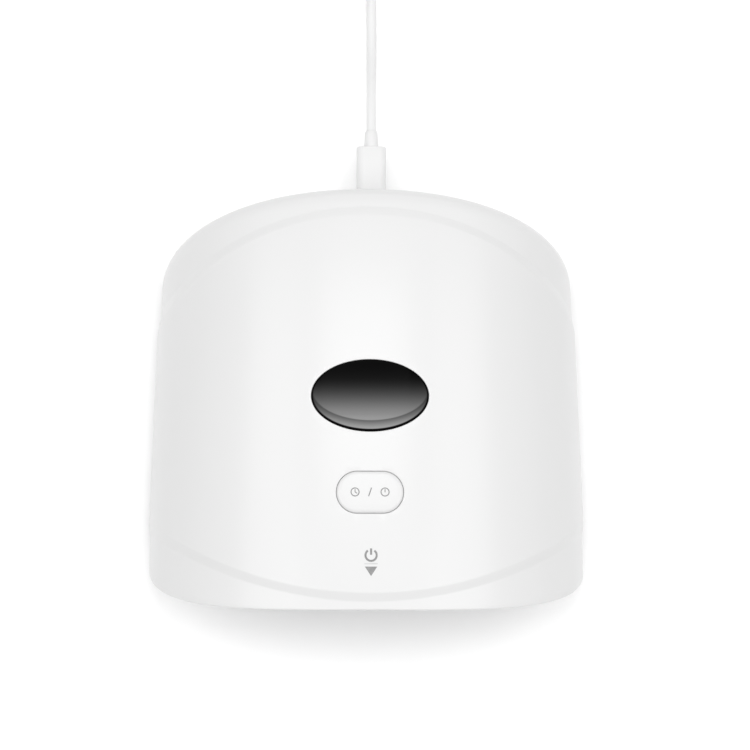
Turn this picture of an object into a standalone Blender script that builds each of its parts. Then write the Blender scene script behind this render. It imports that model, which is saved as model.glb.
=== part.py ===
"""UV LED nail lamp with a USB lead, modelled in metres with +Z up.

The lamp stands on four rubber feet with the hand opening towards -Y and the
USB socket at +Y.  The origin is the middle of the lamp's footprint.
"""
import math

import bmesh
import bpy
from mathutils import Matrix, Vector

MM = 0.001
GAP = 0.3 * MM  # clearance between pieces that touch

# Hood
HALF_WIDTH_FRONT = 80.9 * MM
HALF_WIDTH_BACK = 76.3 * MM
HALF_LENGTH = 75.5 * MM
CROWN = 63.2 * MM
CROWN_FALL = 0.05  # share of the crown's height lost at each end
ARCH_POWER = 2.5
SHELL_BASE = 2.0 * MM
WALL = 2.2 * MM
BAND_RAISE = 0.8 * MM  # the middle band stands this far above the end caps
LIP_LEAN = 22.0 * MM  # the crown overhangs the base of the front lip
LIP_CURVE = 1.35  # above 1 makes the lip steeper near its base
FRONT_CREASE_Y = -72.5 * MM
FRONT_CREASE_RADIUS = 131.0 * MM
BACK_CREASE_Y = 67.6 * MM
BACK_CREASE_RADIUS = 109.0 * MM
CREASE_WIDTH = 2.9 * MM
BACK_BOW = 28.5 * MM  # depth of the bowed rear wall in plan
BACK_FILLET = 6.0 * MM

ARCH_SEGMENTS = 36
BAND_ROWS = 9
FILLET_ROWS = 4
WALL_ROWS = 4

# Hand tunnel
TUNNEL_HALF_WIDTH = 58.0 * MM
TUNNEL_SIDE_TOP = 19.0 * MM
TUNNEL_ROOF_HALF = 28.0 * MM
TUNNEL_ROOF = 43.0 * MM
TUNNEL_BEND = 7.0 * MM
TUNNEL_BACK = 56.0 * MM
LINER_WALL = 1.5 * MM
BEZEL_RECESS = 1.5 * MM
BEZEL_THICKNESS = 2.0 * MM

# Base frame, feet and screws
FRAME_BOTTOM = 2.2 * MM
FRAME_TOP = 4.4 * MM
FRAME_CORNER = 4.0 * MM
FOOT_RADIUS = 4.5 * MM
FOOT_PLACES = ((67.5 * MM, -44.0 * MM), (48.0 * MM, 61.2 * MM))
SCREW_PLACES = ((68.5 * MM, -30.0 * MM), (67.0 * MM, 38.0 * MM))
SCREW_SHANK = 1.1 * MM
SCREW_HEAD = 2.5 * MM
BOSS_RADIUS = 3.2 * MM
PILOT_RADIUS = 1.4 * MM

# Window, key and the board below them
WINDOW_Y = -0.9 * MM
WINDOW_HALF = (20.65 * MM, 12.8 * MM)
KEY_Y = -34.85 * MM
KEY_SIZE = (23.5 * MM, 14.7 * MM)
KEY_RAISE = 0.5 * MM
KEY_SKIRT = 1.5 * MM
BOARD_BOTTOM = 51.0 * MM
BOARD_THICKNESS = 1.6 * MM
BOARD_HALF_WIDTH = 28.0 * MM
BOARD_Y = (-46.0 * MM, 20.0 * MM)
BOARD_POST_X = 24.0 * MM
BOARD_POST_Y = (-42.0 * MM, 16.0 * MM)
SWITCH_HEIGHT = 3.4 * MM
PLUNGER_RADIUS = 1.5 * MM

# Lamps
LED_ROWS_Y = (-42.0 * MM, -2.0 * MM, 38.0 * MM)
ROOF_LED_X = 14.0 * MM
LED_RADIUS = 3.2 * MM
LED_HOLE_RADIUS = 3.7 * MM
LED_BOARD_THICKNESS = 1.2 * MM
LED_BOARD_LENGTH = 96.0 * MM
SENSOR_Y = -59.0 * MM
SENSOR_SPACING = 8.0 * MM
SENSOR_RADIUS = 1.5 * MM

# USB socket and lead
SOCKET_X = 1.6 * MM
SOCKET_Z = 12.5 * MM
SOCKET_SIZE = (8.1 * MM, 3.1 * MM)
SOCKET_BORE = (7.45 * MM, 2.45 * MM)
SOCKET_MOUTH = 73.0 * MM
SOCKET_DEPTH = 5.4 * MM
PORT_SIZE = (9.0 * MM, 4.0 * MM)
PORT_RECESS = (13.6 * MM, 9.6 * MM)
PORT_RECESS_DEPTH = 0.5 * MM
PLUG_SHELL = (6.85 * MM, 1.85 * MM)
PLUG_SHELL_WALL = 0.3 * MM
PLUG_REACH = 4.4 * MM  # how far the plug goes into the socket
OVERMOLD_SIZE = (11.1 * MM, 7.6 * MM)
OVERMOLD_END = 102.5 * MM
RELIEF_END = 109.3 * MM
RELIEF_RADIUS = (2.7 * MM, 2.35 * MM)
CORD_RADIUS = 1.8 * MM
CORD_SPACING = 7.0 * MM

COIL_CENTRE = Vector((-24.0 * MM, 198.5 * MM, 0.0))
COIL_MEAN_RADIUS = 20.0 * MM
COIL_HALF_WIDTH = 7.2 * MM
COIL_BOTTOM = 0.6 * MM
COIL_HEIGHT = 6.7 * MM
TIE_THICKNESS = 0.5 * MM
TIE_WIDTH = 5.0 * MM
TIE_ANGLE = math.radians(215.0)

USB_A_SIZE = (16.0 * MM, 8.0 * MM)
USB_A_LENGTH = 25.0 * MM
USB_A_SHELL = (12.0 * MM, 4.5 * MM)
USB_A_SHELL_LENGTH = 12.0 * MM

# The lead's way from the strain relief to its coil
CORD_ROUTE = (
    Vector((1.6, 109.6, 12.5)) * MM,
    Vector((1.6, 118.0, 11.9)) * MM,
    Vector((1.7, 127.0, 8.6)) * MM,
    Vector((1.9, 136.0, 4.3)) * MM,
    Vector((2.0, 146.0, 2.0)) * MM,
    Vector((1.9, 158.0, 1.85)) * MM,
    Vector((1.7, 171.0, 2.0)) * MM,
    Vector((1.5, 183.6, 2.4)) * MM,
)


# ------------------------------------------------------------------ materials


def material(name, colour, roughness, metallic=0.0, transmission=0.0):
    made = bpy.data.materials.new(name)
    made.use_nodes = True
    shader = made.node_tree.nodes["Principled BSDF"]
    shader.inputs["Base Color"].default_value = (*colour, 1.0)
    shader.inputs["Roughness"].default_value = roughness
    shader.inputs["Metallic"].default_value = metallic
    shader.inputs["Transmission Weight"].default_value = transmission
    return made


WHITE = (0.9, 0.9, 0.9)
BLACK = (0.02, 0.02, 0.02)
GREEN = (0.02, 0.16, 0.07)
STEEL = (0.6, 0.6, 0.6)
SILVER = (0.8, 0.8, 0.82)
VIOLET = (0.55, 0.45, 0.85)


# --------------------------------------------------------------- mesh helpers


def finish(name, mesh, colour, roughness, metallic=0.0, transmission=0.0, smooth_angle=35.0):
    """Makes the named object of a sub-part, with its own material."""
    made = bpy.data.objects.new(name, mesh)
    bpy.context.scene.collection.objects.link(made)
    mesh.materials.append(material(name + "_material", colour, roughness, metallic, transmission))
    mesh.shade_smooth()
    mesh.set_sharp_from_angle(angle=math.radians(smooth_angle))
    return made


def mesh_of(bm, name):
    if all(edge.is_manifold for edge in bm.edges):
        bmesh.ops.recalc_face_normals(bm, faces=bm.faces)
    mesh = bpy.data.meshes.new(name)
    bm.to_mesh(mesh)
    bm.free()
    return mesh


def add_loft(bm, loops, closed=False):
    """Joins loops of equal length; caps the two end loops unless closed."""
    rows = [[bm.verts.new(point) for point in loop] for loop in loops]
    count = len(rows[0])
    pairs = list(zip(rows, rows[1:]))
    if closed:
        pairs.append((rows[-1], rows[0]))
    for lower, upper in pairs:
        for i in range(count):
            j = (i + 1) % count
            bm.faces.new((lower[i], lower[j], upper[j], upper[i]))
    if not closed:
        bm.faces.new(rows[0][::-1])
        bm.faces.new(rows[-1])


def loft(name, loops, closed=False):
    bm = bmesh.new()
    add_loft(bm, loops, closed)
    return mesh_of(bm, name)


def stadium(width, depth, count=32):
    """A slot outline with round ends, as (x, y) pairs."""
    radius = depth / 2
    straight = width / 2 - radius
    points = []
    for i in range(count):
        angle = 2 * math.pi * (i + 0.5) / count
        side = math.copysign(straight, math.cos(angle))
        points.append((side + radius * math.cos(angle), radius * math.sin(angle)))
    return points


def rounded_rectangle(width, depth, radius, corner_steps=3):
    points = []
    for quarter, (sx, sy) in enumerate(((1, 1), (-1, 1), (-1, -1), (1, -1))):
        centre = (sx * (width / 2 - radius), sy * (depth / 2 - radius))
        for step in range(corner_steps + 1):
            angle = math.pi / 2 * (quarter + step / corner_steps)
            x = centre[0] + radius * math.cos(angle)
            y = centre[1] + radius * math.sin(angle)
            points.append((x, y))
    return points


def ellipse(half_x, half_y, count=40):
    angles = [2 * math.pi * i / count for i in range(count)]
    return [(half_x * math.cos(angle), half_y * math.sin(angle)) for angle in angles]


def circle(radius, count=16):
    return ellipse(radius, radius, count)


def at_height(outline, z):
    return [(x, y, z) for x, y in outline]


def along_y(outline, y):
    """Stands an outline up, so that it faces along the Y axis."""
    return [(x, y, z) for x, z in outline]


def prism(name, outline, bottom, top):
    return loft(name, [at_height(outline, bottom), at_height(outline, top)])


def turned(name, profile, count=16):
    """A solid turned about Z; its profile lists (radius, z) from bottom to top."""
    return loft(name, [at_height(circle(radius, count), z) for radius, z in profile])


def chamfered_block(name, size, edge):
    """A box of a given size on z = 0 with its upper edges broken."""
    width, depth, height = size
    foot = rounded_rectangle(width, depth, edge, 1)
    top = rounded_rectangle(width - edge, depth - edge, edge / 2, 1)
    return loft(name, [at_height(foot, 0), at_height(foot, height - edge / 2), at_height(top, height)])


def guide(name, mesh):
    """A cutter or joining body, which isn't part of the lamp."""
    made = bpy.data.objects.new(name, mesh)
    bpy.context.scene.collection.objects.link(made)
    made.hide_render = True
    made.display_type = "WIRE"
    return made


def combine(target, other, operation):
    modifier = target.modifiers.new(other.name, "BOOLEAN")
    modifier.operation = operation
    modifier.solver = "EXACT"
    modifier.object = other


def add_cylinder(bm, radius, start, end, count=16):
    """Adds a closed cylinder between two points to a mesh being built."""
    axis = (Vector(end) - Vector(start)).normalized()
    turn = axis.to_track_quat("Z", "Y").to_matrix()
    loops = []
    for middle in (Vector(start), Vector(end)):
        loops.append([middle + turn @ Vector((x, y, 0)) for x, y in circle(radius, count)])
    add_loft(bm, loops)


# ------------------------------------------------------------- hood geometry


def half_width(y):
    share = (y + HALF_LENGTH) / (2 * HALF_LENGTH)
    return HALF_WIDTH_FRONT + (HALF_WIDTH_BACK - HALF_WIDTH_FRONT) * share


def crown_height(y):
    return CROWN * (1 - CROWN_FALL * (y / HALF_LENGTH) ** 2)


def arch_unit(angle):
    """The hood's cross-section as a unit superellipse: across and up."""
    across = math.cos(angle)
    up = math.sin(angle)
    scale = (abs(across) ** ARCH_POWER + abs(up) ** ARCH_POWER) ** (-1 / ARCH_POWER)
    return across * scale, up * scale


def hood_height(x, y, raised=True):
    """Height of the hood's outer surface above the ground at (x, y)."""
    extra = BAND_RAISE if raised else 0.0
    reach = min(abs(x) / (half_width(y) + extra), 1.0)
    up = (1 - reach**ARCH_POWER) ** (1 / ARCH_POWER)
    return SHELL_BASE + (crown_height(y) + extra - SHELL_BASE) * up


def lip_row(x, up):
    return -HALF_LENGTH + LIP_LEAN * (1 - up) ** LIP_CURVE


def front_crease_row(offset):
    centre = FRONT_CREASE_Y + FRONT_CREASE_RADIUS
    radius = FRONT_CREASE_RADIUS - offset
    return lambda x, up: centre - math.sqrt(radius**2 - x**2)


def back_crease_row(offset):
    centre = BACK_CREASE_Y - BACK_CREASE_RADIUS
    radius = BACK_CREASE_RADIUS - offset
    return lambda x, up: centre + math.sqrt(radius**2 - x**2)


def rear_plan(x):
    """The rear wall's plan outline."""
    reach = min(abs(x) / (half_width(HALF_LENGTH - BACK_BOW)), 1.0)
    return HALF_LENGTH - BACK_BOW * (1 - math.sqrt(1 - reach**2))


def fillet_size(up):
    return min(BACK_FILLET, 0.45 * (CROWN - SHELL_BASE) * up)


def fillet_start_row(x, up):
    return rear_plan(x) - fillet_size(up)


def between(first, second, share):
    return lambda x, up: first(x, up) * (1 - share) + second(x, up) * share


def hood_point(row, angle, raise_by):
    """Finds the surface point where an arch line meets a row across the hood."""
    across, up = arch_unit(angle)
    x = across * HALF_WIDTH_FRONT
    for _ in range(12):
        y = row(x, up)
        x = across * (half_width(y) + raise_by)
    z = SHELL_BASE + (crown_height(y) + raise_by - SHELL_BASE) * up
    return Vector((x, y, z))


def hood_rows():
    """Rows across the hood's outer surface, from the front lip to the foot of its rear wall."""
    lower_crease = front_crease_row(0.0)
    upper_crease = front_crease_row(CREASE_WIDTH)
    band_end = back_crease_row(CREASE_WIDTH)
    cap_start = back_crease_row(0.0)
    lines = [(lip_row, 0.0), (between(lip_row, lower_crease, 0.5), 0.0), (lower_crease, 0.0)]
    for i in range(BAND_ROWS + 1):
        lines.append((between(upper_crease, band_end, i / BAND_ROWS), BAND_RAISE))
    lines.append((cap_start, 0.0))
    lines.append((fillet_start_row, 0.0))
    angles = [math.pi * i / ARCH_SEGMENTS for i in range(ARCH_SEGMENTS + 1)]
    rows = [[hood_point(line, angle, raise_by) for angle in angles] for line, raise_by in lines]
    edge = rows[-1]
    sizes = [fillet_size(arch_unit(angle)[1]) for angle in angles]
    for step in range(1, FILLET_ROWS + 1):
        turn = math.pi / 2 * step / FILLET_ROWS
        shift = [Vector((0, size * math.sin(turn), -size * (1 - math.cos(turn)))) for size in sizes]
        rows.append([point + move for point, move in zip(edge, shift)])
    brow = rows[-1]
    for step in range(1, WALL_ROWS + 1):
        share = step / WALL_ROWS
        rows.append([Vector((p.x, p.y, p.z + (SHELL_BASE - p.z) * share)) for p in brow])
    return rows


def grid_mesh(name, rows, end_face=False):
    """Joins rows of points to an open surface, facing out; closes its last row where asked."""
    bm = bmesh.new()
    lines = [[bm.verts.new(point) for point in row] for row in rows]
    for near, far in zip(lines, lines[1:]):
        for i in range(len(near) - 1):
            bm.faces.new((near[i], far[i], far[i + 1], near[i + 1]))
    if end_face:
        bm.faces.new(lines[-1][::-1])
    bmesh.ops.remove_doubles(bm, verts=bm.verts, dist=0.01 * MM)
    bmesh.ops.dissolve_degenerate(bm, edges=bm.edges, dist=0.01 * MM)
    return mesh_of(bm, name)


def thicken(target, thickness, offset):
    modifier = target.modifiers.new("wall", "SOLIDIFY")
    modifier.thickness = thickness
    modifier.offset = offset
    modifier.use_quality_normals = True
    modifier.use_rim = True


def lip_place(z):
    """How far forward the front lip lies at a height."""
    share = (z - SHELL_BASE) / (crown_height(HALF_LENGTH) - SHELL_BASE)
    return -HALF_LENGTH + LIP_LEAN * max(1 - share, 0.0) ** LIP_CURVE


def mirrored_places(places):
    return [(side * x, y) for x, y in places for side in (-1, 1)]


def build_top_shell():
    shell = finish("top_shell", grid_mesh("top_shell", hood_rows()), WHITE, 0.35, smooth_angle=20.0)
    thicken(shell, WALL, -1.0)

    posts = bmesh.new()
    pilots = bmesh.new()
    frame_pilot_top = 14 * MM
    board_pilot_top = 57.5 * MM
    for x, y in mirrored_places(SCREW_PLACES):
        top = hood_height(abs(x) + BOSS_RADIUS, y, False) - 0.5 * WALL
        add_cylinder(posts, BOSS_RADIUS, (x, y, FRAME_TOP + GAP), (x, y, top))
        add_cylinder(pilots, PILOT_RADIUS, (x, y, FRAME_TOP - GAP), (x, y, frame_pilot_top), 12)
    bottom = BOARD_BOTTOM + BOARD_THICKNESS + GAP
    for x in (-BOARD_POST_X, BOARD_POST_X):
        for y in BOARD_POST_Y:
            top = hood_height(abs(x) + BOSS_RADIUS, y) - 0.5 * WALL
            add_cylinder(posts, BOSS_RADIUS, (x, y, bottom), (x, y, top))
            add_cylinder(pilots, PILOT_RADIUS, (x, y, bottom - GAP), (x, y, board_pilot_top), 12)
    combine(shell, guide("shell_posts", mesh_of(posts, "shell_posts")), "UNION")
    combine(shell, guide("shell_pilots", mesh_of(pilots, "shell_pilots")), "DIFFERENCE")

    low = 58.0 * MM
    high = 70.0 * MM
    window = prism("window_cutter", ellipse(*WINDOW_HALF), low, high)
    key = prism("key_cutter", stadium(*KEY_SIZE), low, high)
    recess_outline = rounded_rectangle(*PORT_RECESS, 2.0 * MM)
    floor = HALF_LENGTH - PORT_RECESS_DEPTH
    recess = loft("recess_cutter", [along_y(recess_outline, floor), along_y(recess_outline, 80 * MM)])
    slot_outline = rounded_rectangle(*PORT_SIZE, 1.0 * MM)
    slot = loft("slot_cutter", [along_y(slot_outline, 70 * MM), along_y(slot_outline, 78 * MM)])
    places = (
        (window, (0, WINDOW_Y, 0)),
        (key, (0, KEY_Y, 0)),
        (recess, (SOCKET_X, 0, SOCKET_Z)),
        (slot, (SOCKET_X, 0, SOCKET_Z)),
    )
    for mesh, place in places:
        cutter = guide(mesh.name, mesh)
        cutter.location = place
        combine(shell, cutter, "DIFFERENCE")


def tunnel_profile():
    """The hand tunnel's cross-section, from its right foot over the roof to its left foot."""
    corners = (
        Vector((TUNNEL_HALF_WIDTH, FRAME_TOP + GAP)),
        Vector((TUNNEL_HALF_WIDTH, TUNNEL_SIDE_TOP)),
        Vector((TUNNEL_ROOF_HALF, TUNNEL_ROOF)),
        Vector((-TUNNEL_ROOF_HALF, TUNNEL_ROOF)),
        Vector((-TUNNEL_HALF_WIDTH, TUNNEL_SIDE_TOP)),
        Vector((-TUNNEL_HALF_WIDTH, FRAME_TOP + GAP)),
    )
    points = [corners[0]]
    for before, corner, after in zip(corners, corners[1:], corners[2:]):
        start = corner + (before - corner).normalized() * TUNNEL_BEND
        end = corner + (after - corner).normalized() * TUNNEL_BEND
        for step in range(5):
            share = step / 4
            points.append((1 - share) ** 2 * start + 2 * share * (1 - share) * corner + share**2 * end)
    points.append(corners[-1])
    return points


def facet_frame():
    """Middle and outward normal of the right-hand slanted facet, in the XZ plane."""
    low = Vector((TUNNEL_HALF_WIDTH, TUNNEL_SIDE_TOP))
    high = Vector((TUNNEL_ROOF_HALF, TUNNEL_ROOF))
    along = (high - low).normalized()
    return (low + high) / 2, Vector((along.y, -along.x))


def build_reflector_liner():
    profile = tunnel_profile()
    start = BEZEL_RECESS + BEZEL_THICKNESS + GAP
    rows = []
    for share in (0.0, 0.33, 0.67, 1.0):
        front = [lip_place(point.y) + start for point in profile]
        rows.append([(p.x, y + (TUNNEL_BACK - y) * share, p.y) for p, y in zip(profile, front)])
    mesh = grid_mesh("reflector_liner", rows, end_face=True)
    liner = finish("reflector_liner", mesh, SILVER, 0.15, 1.0)
    thicken(liner, LINER_WALL, 1.0)

    holes = bmesh.new()
    middle, normal = facet_frame()
    below = 3 * MM
    above = 4 * MM
    bottom = TUNNEL_ROOF - below
    top = TUNNEL_ROOF + above
    low = middle - normal * below
    high = middle + normal * above
    for side in (-1, 1):
        for y in LED_ROWS_Y:
            x = side * ROOF_LED_X
            add_cylinder(holes, LED_HOLE_RADIUS, (x, y, bottom), (x, y, top), 12)
            inside = (side * low.x, y, low.y)
            outside = (side * high.x, y, high.y)
            add_cylinder(holes, LED_HOLE_RADIUS, inside, outside, 12)
        x = side * SENSOR_SPACING / 2
        add_cylinder(holes, SENSOR_RADIUS + GAP, (x, SENSOR_Y, bottom), (x, SENSOR_Y, top), 12)
    combine(liner, guide("liner_holes", mesh_of(holes, "liner_holes")), "DIFFERENCE")


def build_front_bezel():
    """A plate across the front of the hood, between its wall and the hand tunnel."""
    inner = tunnel_profile()
    count = len(inner)
    inset = WALL + 0.5 * MM
    sections = []
    for i, point in enumerate(inner):
        foot = Vector((point.x, FRAME_BOTTOM)) if i in (0, count - 1) else point
        angle = math.pi * i / (count - 1)
        across, up = arch_unit(angle)
        z = SHELL_BASE
        for _ in range(12):
            y = lip_place(z)
            z = SHELL_BASE + (crown_height(y) - inset - SHELL_BASE) * up
        z = max(z, FRAME_BOTTOM)
        outer = Vector((across * (half_width(y) - inset), z))
        corners = []
        for flat, depth in ((outer, 0.0), (outer, BEZEL_THICKNESS), (foot, BEZEL_THICKNESS), (foot, 0.0)):
            corners.append((flat.x, lip_place(flat.y) + BEZEL_RECESS + depth, flat.y))
        sections.append(corners)
    finish("front_bezel", loft("front_bezel", sections), WHITE, 0.35)


def inside_hood_plan(x, y, inset):
    if y <= HALF_LENGTH - BACK_BOW:
        return abs(x) <= half_width(y) - inset
    across = x / (half_width(HALF_LENGTH - BACK_BOW) - inset)
    back = (y - (HALF_LENGTH - BACK_BOW)) / (BACK_BOW - inset)
    return across**2 + back**2 <= 1


def inside_tunnel_plan(x, y, inset):
    over_x = max(abs(x) - (TUNNEL_HALF_WIDTH - FRAME_CORNER), 0)
    over_y = max(y - (TUNNEL_BACK - FRAME_CORNER), 0)
    return math.hypot(over_x, over_y) <= FRAME_CORNER + inset


def edge_along_ray(origin, direction, inside, inset):
    """The last point along a ray that is inside a plan outline."""
    near = 0.0
    far = 2 * HALF_LENGTH
    for _ in range(40):
        middle = (near + far) / 2
        point = origin + direction * middle
        if inside(point.x, point.y, inset):
            near = middle
        else:
            far = middle
    return origin + direction * near


def build_base_frame():
    """The flat U under the hood's rim, open at the front."""
    hub_y = 20 * MM
    leg_start = lip_place(FRAME_BOTTOM) + BEZEL_RECESS + BEZEL_THICKNESS + GAP
    rays = []
    leg_steps = 4
    for i in range(leg_steps):
        y = leg_start + (hub_y - leg_start) * i / leg_steps
        rays.append((Vector((0, y)), Vector((1, 0))))
    for i in range(25):
        angle = math.pi * i / 24
        rays.append((Vector((0, hub_y)), Vector((math.cos(angle), math.sin(angle)))))
    for i in range(leg_steps):
        y = hub_y + (leg_start - hub_y) * (i + 1) / leg_steps
        rays.append((Vector((0, y)), Vector((-1, 0))))
    sections = []
    for origin, direction in rays:
        outer = edge_along_ray(origin, direction, inside_hood_plan, WALL + 1.5 * GAP)
        inner = edge_along_ray(origin, direction, inside_tunnel_plan, 0.0)
        sections.append([
            (outer.x, outer.y, FRAME_BOTTOM),
            (outer.x, outer.y, FRAME_TOP),
            (inner.x, inner.y, FRAME_TOP),
            (inner.x, inner.y, FRAME_BOTTOM),
        ])
    frame = finish("base_frame", loft("base_frame", sections), WHITE, 0.45)
    holes = bmesh.new()
    for x, y in mirrored_places(SCREW_PLACES):
        add_cylinder(holes, SCREW_SHANK + GAP, (x, y, 0), (x, y, 8 * MM), 12)
    combine(frame, guide("frame_holes", mesh_of(holes, "frame_holes")), "DIFFERENCE")


def build_feet_and_screws():
    foot_profile = ((FOOT_RADIUS - 0.4 * MM, 0), (FOOT_RADIUS, 0.4 * MM), (FOOT_RADIUS, 1.9 * MM))
    head_top = FRAME_BOTTOM - GAP
    screw_profile = (
        (SCREW_HEAD - 0.6 * MM, head_top - 1.3 * MM),
        (SCREW_HEAD, head_top - 0.7 * MM),
        (SCREW_HEAD, head_top),
        (SCREW_SHANK, head_top),
        (SCREW_SHANK, 11.4 * MM),
        (0.3 * MM, 12.4 * MM),
    )
    names = ("front_left", "front_right", "back_left", "back_right")
    for name, (x, y) in zip(names, mirrored_places(FOOT_PLACES)):
        mesh = turned("foot_" + name, foot_profile, 20)
        foot = finish("rubber_foot_" + name, mesh, (0.55, 0.55, 0.55), 0.8)
        foot.location = (x, y, 0)
    for name, (x, y) in zip(names, mirrored_places(SCREW_PLACES)):
        mesh = turned("screw_" + name, screw_profile, 12)
        screw = finish("base_screw_" + name, mesh, STEEL, 0.3, 1.0)
        screw.location = (x, y, 0)


# ------------------------------------------------------ window, key and board


def surface_loop(outline, centre_y, lift):
    """An outline laid on the hood's outer surface and moved up or down."""
    return [(x, y, hood_height(x, y + centre_y) + lift) for x, y in outline]


def build_display_lens():
    half_x = WINDOW_HALF[0] - GAP
    half_y = WINDOW_HALF[1] - GAP
    seat = 60.0 * MM
    loops = []
    for share in (0.3, 0.6, 0.86):
        outline = ellipse(half_x * share, half_y * share)
        loops.append(surface_loop(outline, WINDOW_Y, 0.1 * MM))
    loops.append(surface_loop(ellipse(half_x - 0.4 * MM, half_y - 0.4 * MM), WINDOW_Y, -0.05 * MM))
    loops.append(surface_loop(ellipse(half_x, half_y), WINDOW_Y, -0.5 * MM))
    loops.append(at_height(ellipse(half_x, half_y), seat))
    flange = ellipse(half_x + 1.6 * MM, half_y + 1.6 * MM)
    loops.append(at_height(flange, seat))
    loops.append(at_height(flange, seat - 0.9 * MM))
    lens = finish("display_lens", loft("display_lens", loops), BLACK, 0.05, 0.0, 0.4)
    lens.location = (0, WINDOW_Y, 0)


def build_timer_key():
    """The key's origin lies on its sliding axis."""
    width = KEY_SIZE[0] - 2 * GAP
    depth = KEY_SIZE[1] - 2 * GAP
    edge = 0.7 * MM
    skirt_top = 60.0 * MM
    skirt_bottom = 59.0 * MM
    stem_bottom = BOARD_BOTTOM + BOARD_THICKNESS + GAP + SWITCH_HEIGHT + 2.5 * GAP
    count = 32
    loops = []
    for shrink, drop in ((4.0 * MM, 0.0), (edge, 0.05 * MM), (0.0, 0.6 * MM)):
        outline = stadium(width - 2 * shrink, depth - 2 * shrink, count)
        loops.append(surface_loop(outline, KEY_Y, KEY_RAISE - drop))
    loops.append(at_height(stadium(width, depth, count), skirt_top))
    skirt = stadium(width + 2 * KEY_SKIRT, depth + 2 * KEY_SKIRT, count)
    loops.append(at_height(skirt, skirt_top))
    loops.append(at_height(skirt, skirt_bottom))
    stem = [(2.5 * MM * math.cos(a), 2.5 * MM * math.sin(a)) for a in half_step_angles(count)]
    loops.append(at_height(stem, skirt_bottom))
    loops.append(at_height(stem, stem_bottom))
    key = finish("timer_key", loft("timer_key", loops), WHITE, 0.35)
    key.location = (0, KEY_Y, 0)

    board_top = BOARD_BOTTOM + BOARD_THICKNESS
    plunger_profile = (
        (PLUNGER_RADIUS, board_top + GAP + 1.3 * MM),
        (PLUNGER_RADIUS, stem_bottom - GAP),
    )
    plunger = finish("switch_plunger", turned("switch_plunger", plunger_profile), BLACK, 0.4)
    plunger.location = (0, KEY_Y, 0)


def half_step_angles(count):
    return [2 * math.pi * (i + 0.5) / count for i in range(count)]


def build_switch_body():
    """A push switch's housing with a blind bore for its plunger."""
    count = 16
    half = 3.1 * MM
    bore = PLUNGER_RADIUS + GAP
    square = []
    round_hole = []
    for angle in half_step_angles(count):
        stretch = half / max(abs(math.cos(angle)), abs(math.sin(angle)))
        square.append((stretch * math.cos(angle), stretch * math.sin(angle)))
        round_hole.append((bore * math.cos(angle), bore * math.sin(angle)))
    loops = [
        at_height(square, 0),
        at_height(square, SWITCH_HEIGHT),
        at_height(round_hole, SWITCH_HEIGHT),
        at_height(round_hole, 0.5 * MM),
    ]
    switch = finish("switch_body", loft("switch_body", loops), BLACK, 0.5)
    switch.location = (0, KEY_Y, BOARD_BOTTOM + BOARD_THICKNESS + GAP)


def build_control_board():
    middle_y = sum(BOARD_Y) / 2
    outline = rounded_rectangle(2 * BOARD_HALF_WIDTH, BOARD_Y[1] - BOARD_Y[0], 1.5 * MM)
    mesh = prism("control_board", outline, 0, BOARD_THICKNESS)
    board = finish("control_board", mesh, GREEN, 0.4)
    board.location = (0, middle_y, BOARD_BOTTOM)
    holes = bmesh.new()
    for x in (-BOARD_POST_X, BOARD_POST_X):
        for y in BOARD_POST_Y:
            low = (x, y, BOARD_BOTTOM - 1 * MM)
            high = (x, y, BOARD_BOTTOM + 3 * MM)
            add_cylinder(holes, PILOT_RADIUS, low, high, 12)
    combine(board, guide("board_holes", mesh_of(holes, "board_holes")), "DIFFERENCE")

    top = BOARD_BOTTOM + BOARD_THICKNESS + GAP
    blocks = (
        ("display_module", (26 * MM, 15 * MM, 5.4 * MM), (0, WINDOW_Y), 0.6 * MM, BLACK),
        ("timer_chip", (6 * MM, 10 * MM, 1.6 * MM), (17.5 * MM, -33 * MM), 0.5 * MM, BLACK),
        ("lamp_driver_chip", (5 * MM, 5 * MM, 1.4 * MM), (-18 * MM, -20 * MM), 0.5 * MM, BLACK),
        ("boost_inductor", (7 * MM, 7 * MM, 4 * MM), (-18.5 * MM, -32.5 * MM), 1.2 * MM, (0.15, 0.15, 0.16)),
    )
    for name, size, place, edge, colour in blocks:
        block = finish(name, chamfered_block(name, size, edge), colour, 0.5)
        block.location = (*place, top)
    can_profile = ((3.15 * MM, 0), (3.15 * MM, 5.0 * MM), (2.8 * MM, 5.4 * MM))
    can = finish("filter_capacitor", turned("filter_capacitor", can_profile), STEEL, 0.35, 0.9)
    can.location = (19.5 * MM, -18 * MM, top)

    seat = BOARD_BOTTOM - GAP
    head = 2.1 * MM
    shank = 1.0 * MM
    screw_profile = ((head, seat - 1.5 * MM), (head, seat), (shank, seat), (shank, 56.8 * MM))
    screws = (
        ("left", -BOARD_POST_X, BOARD_POST_Y[1]),
        ("right", BOARD_POST_X, BOARD_POST_Y[0]),
    )
    for name, x, y in screws:
        mesh = turned("board_screw_" + name, screw_profile, 10)
        screw = finish("board_screw_" + name, mesh, STEEL, 0.3, 1.0)
        screw.location = (x, y, 0)


# ---------------------------------------------------------- lamps and sensor


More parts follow.
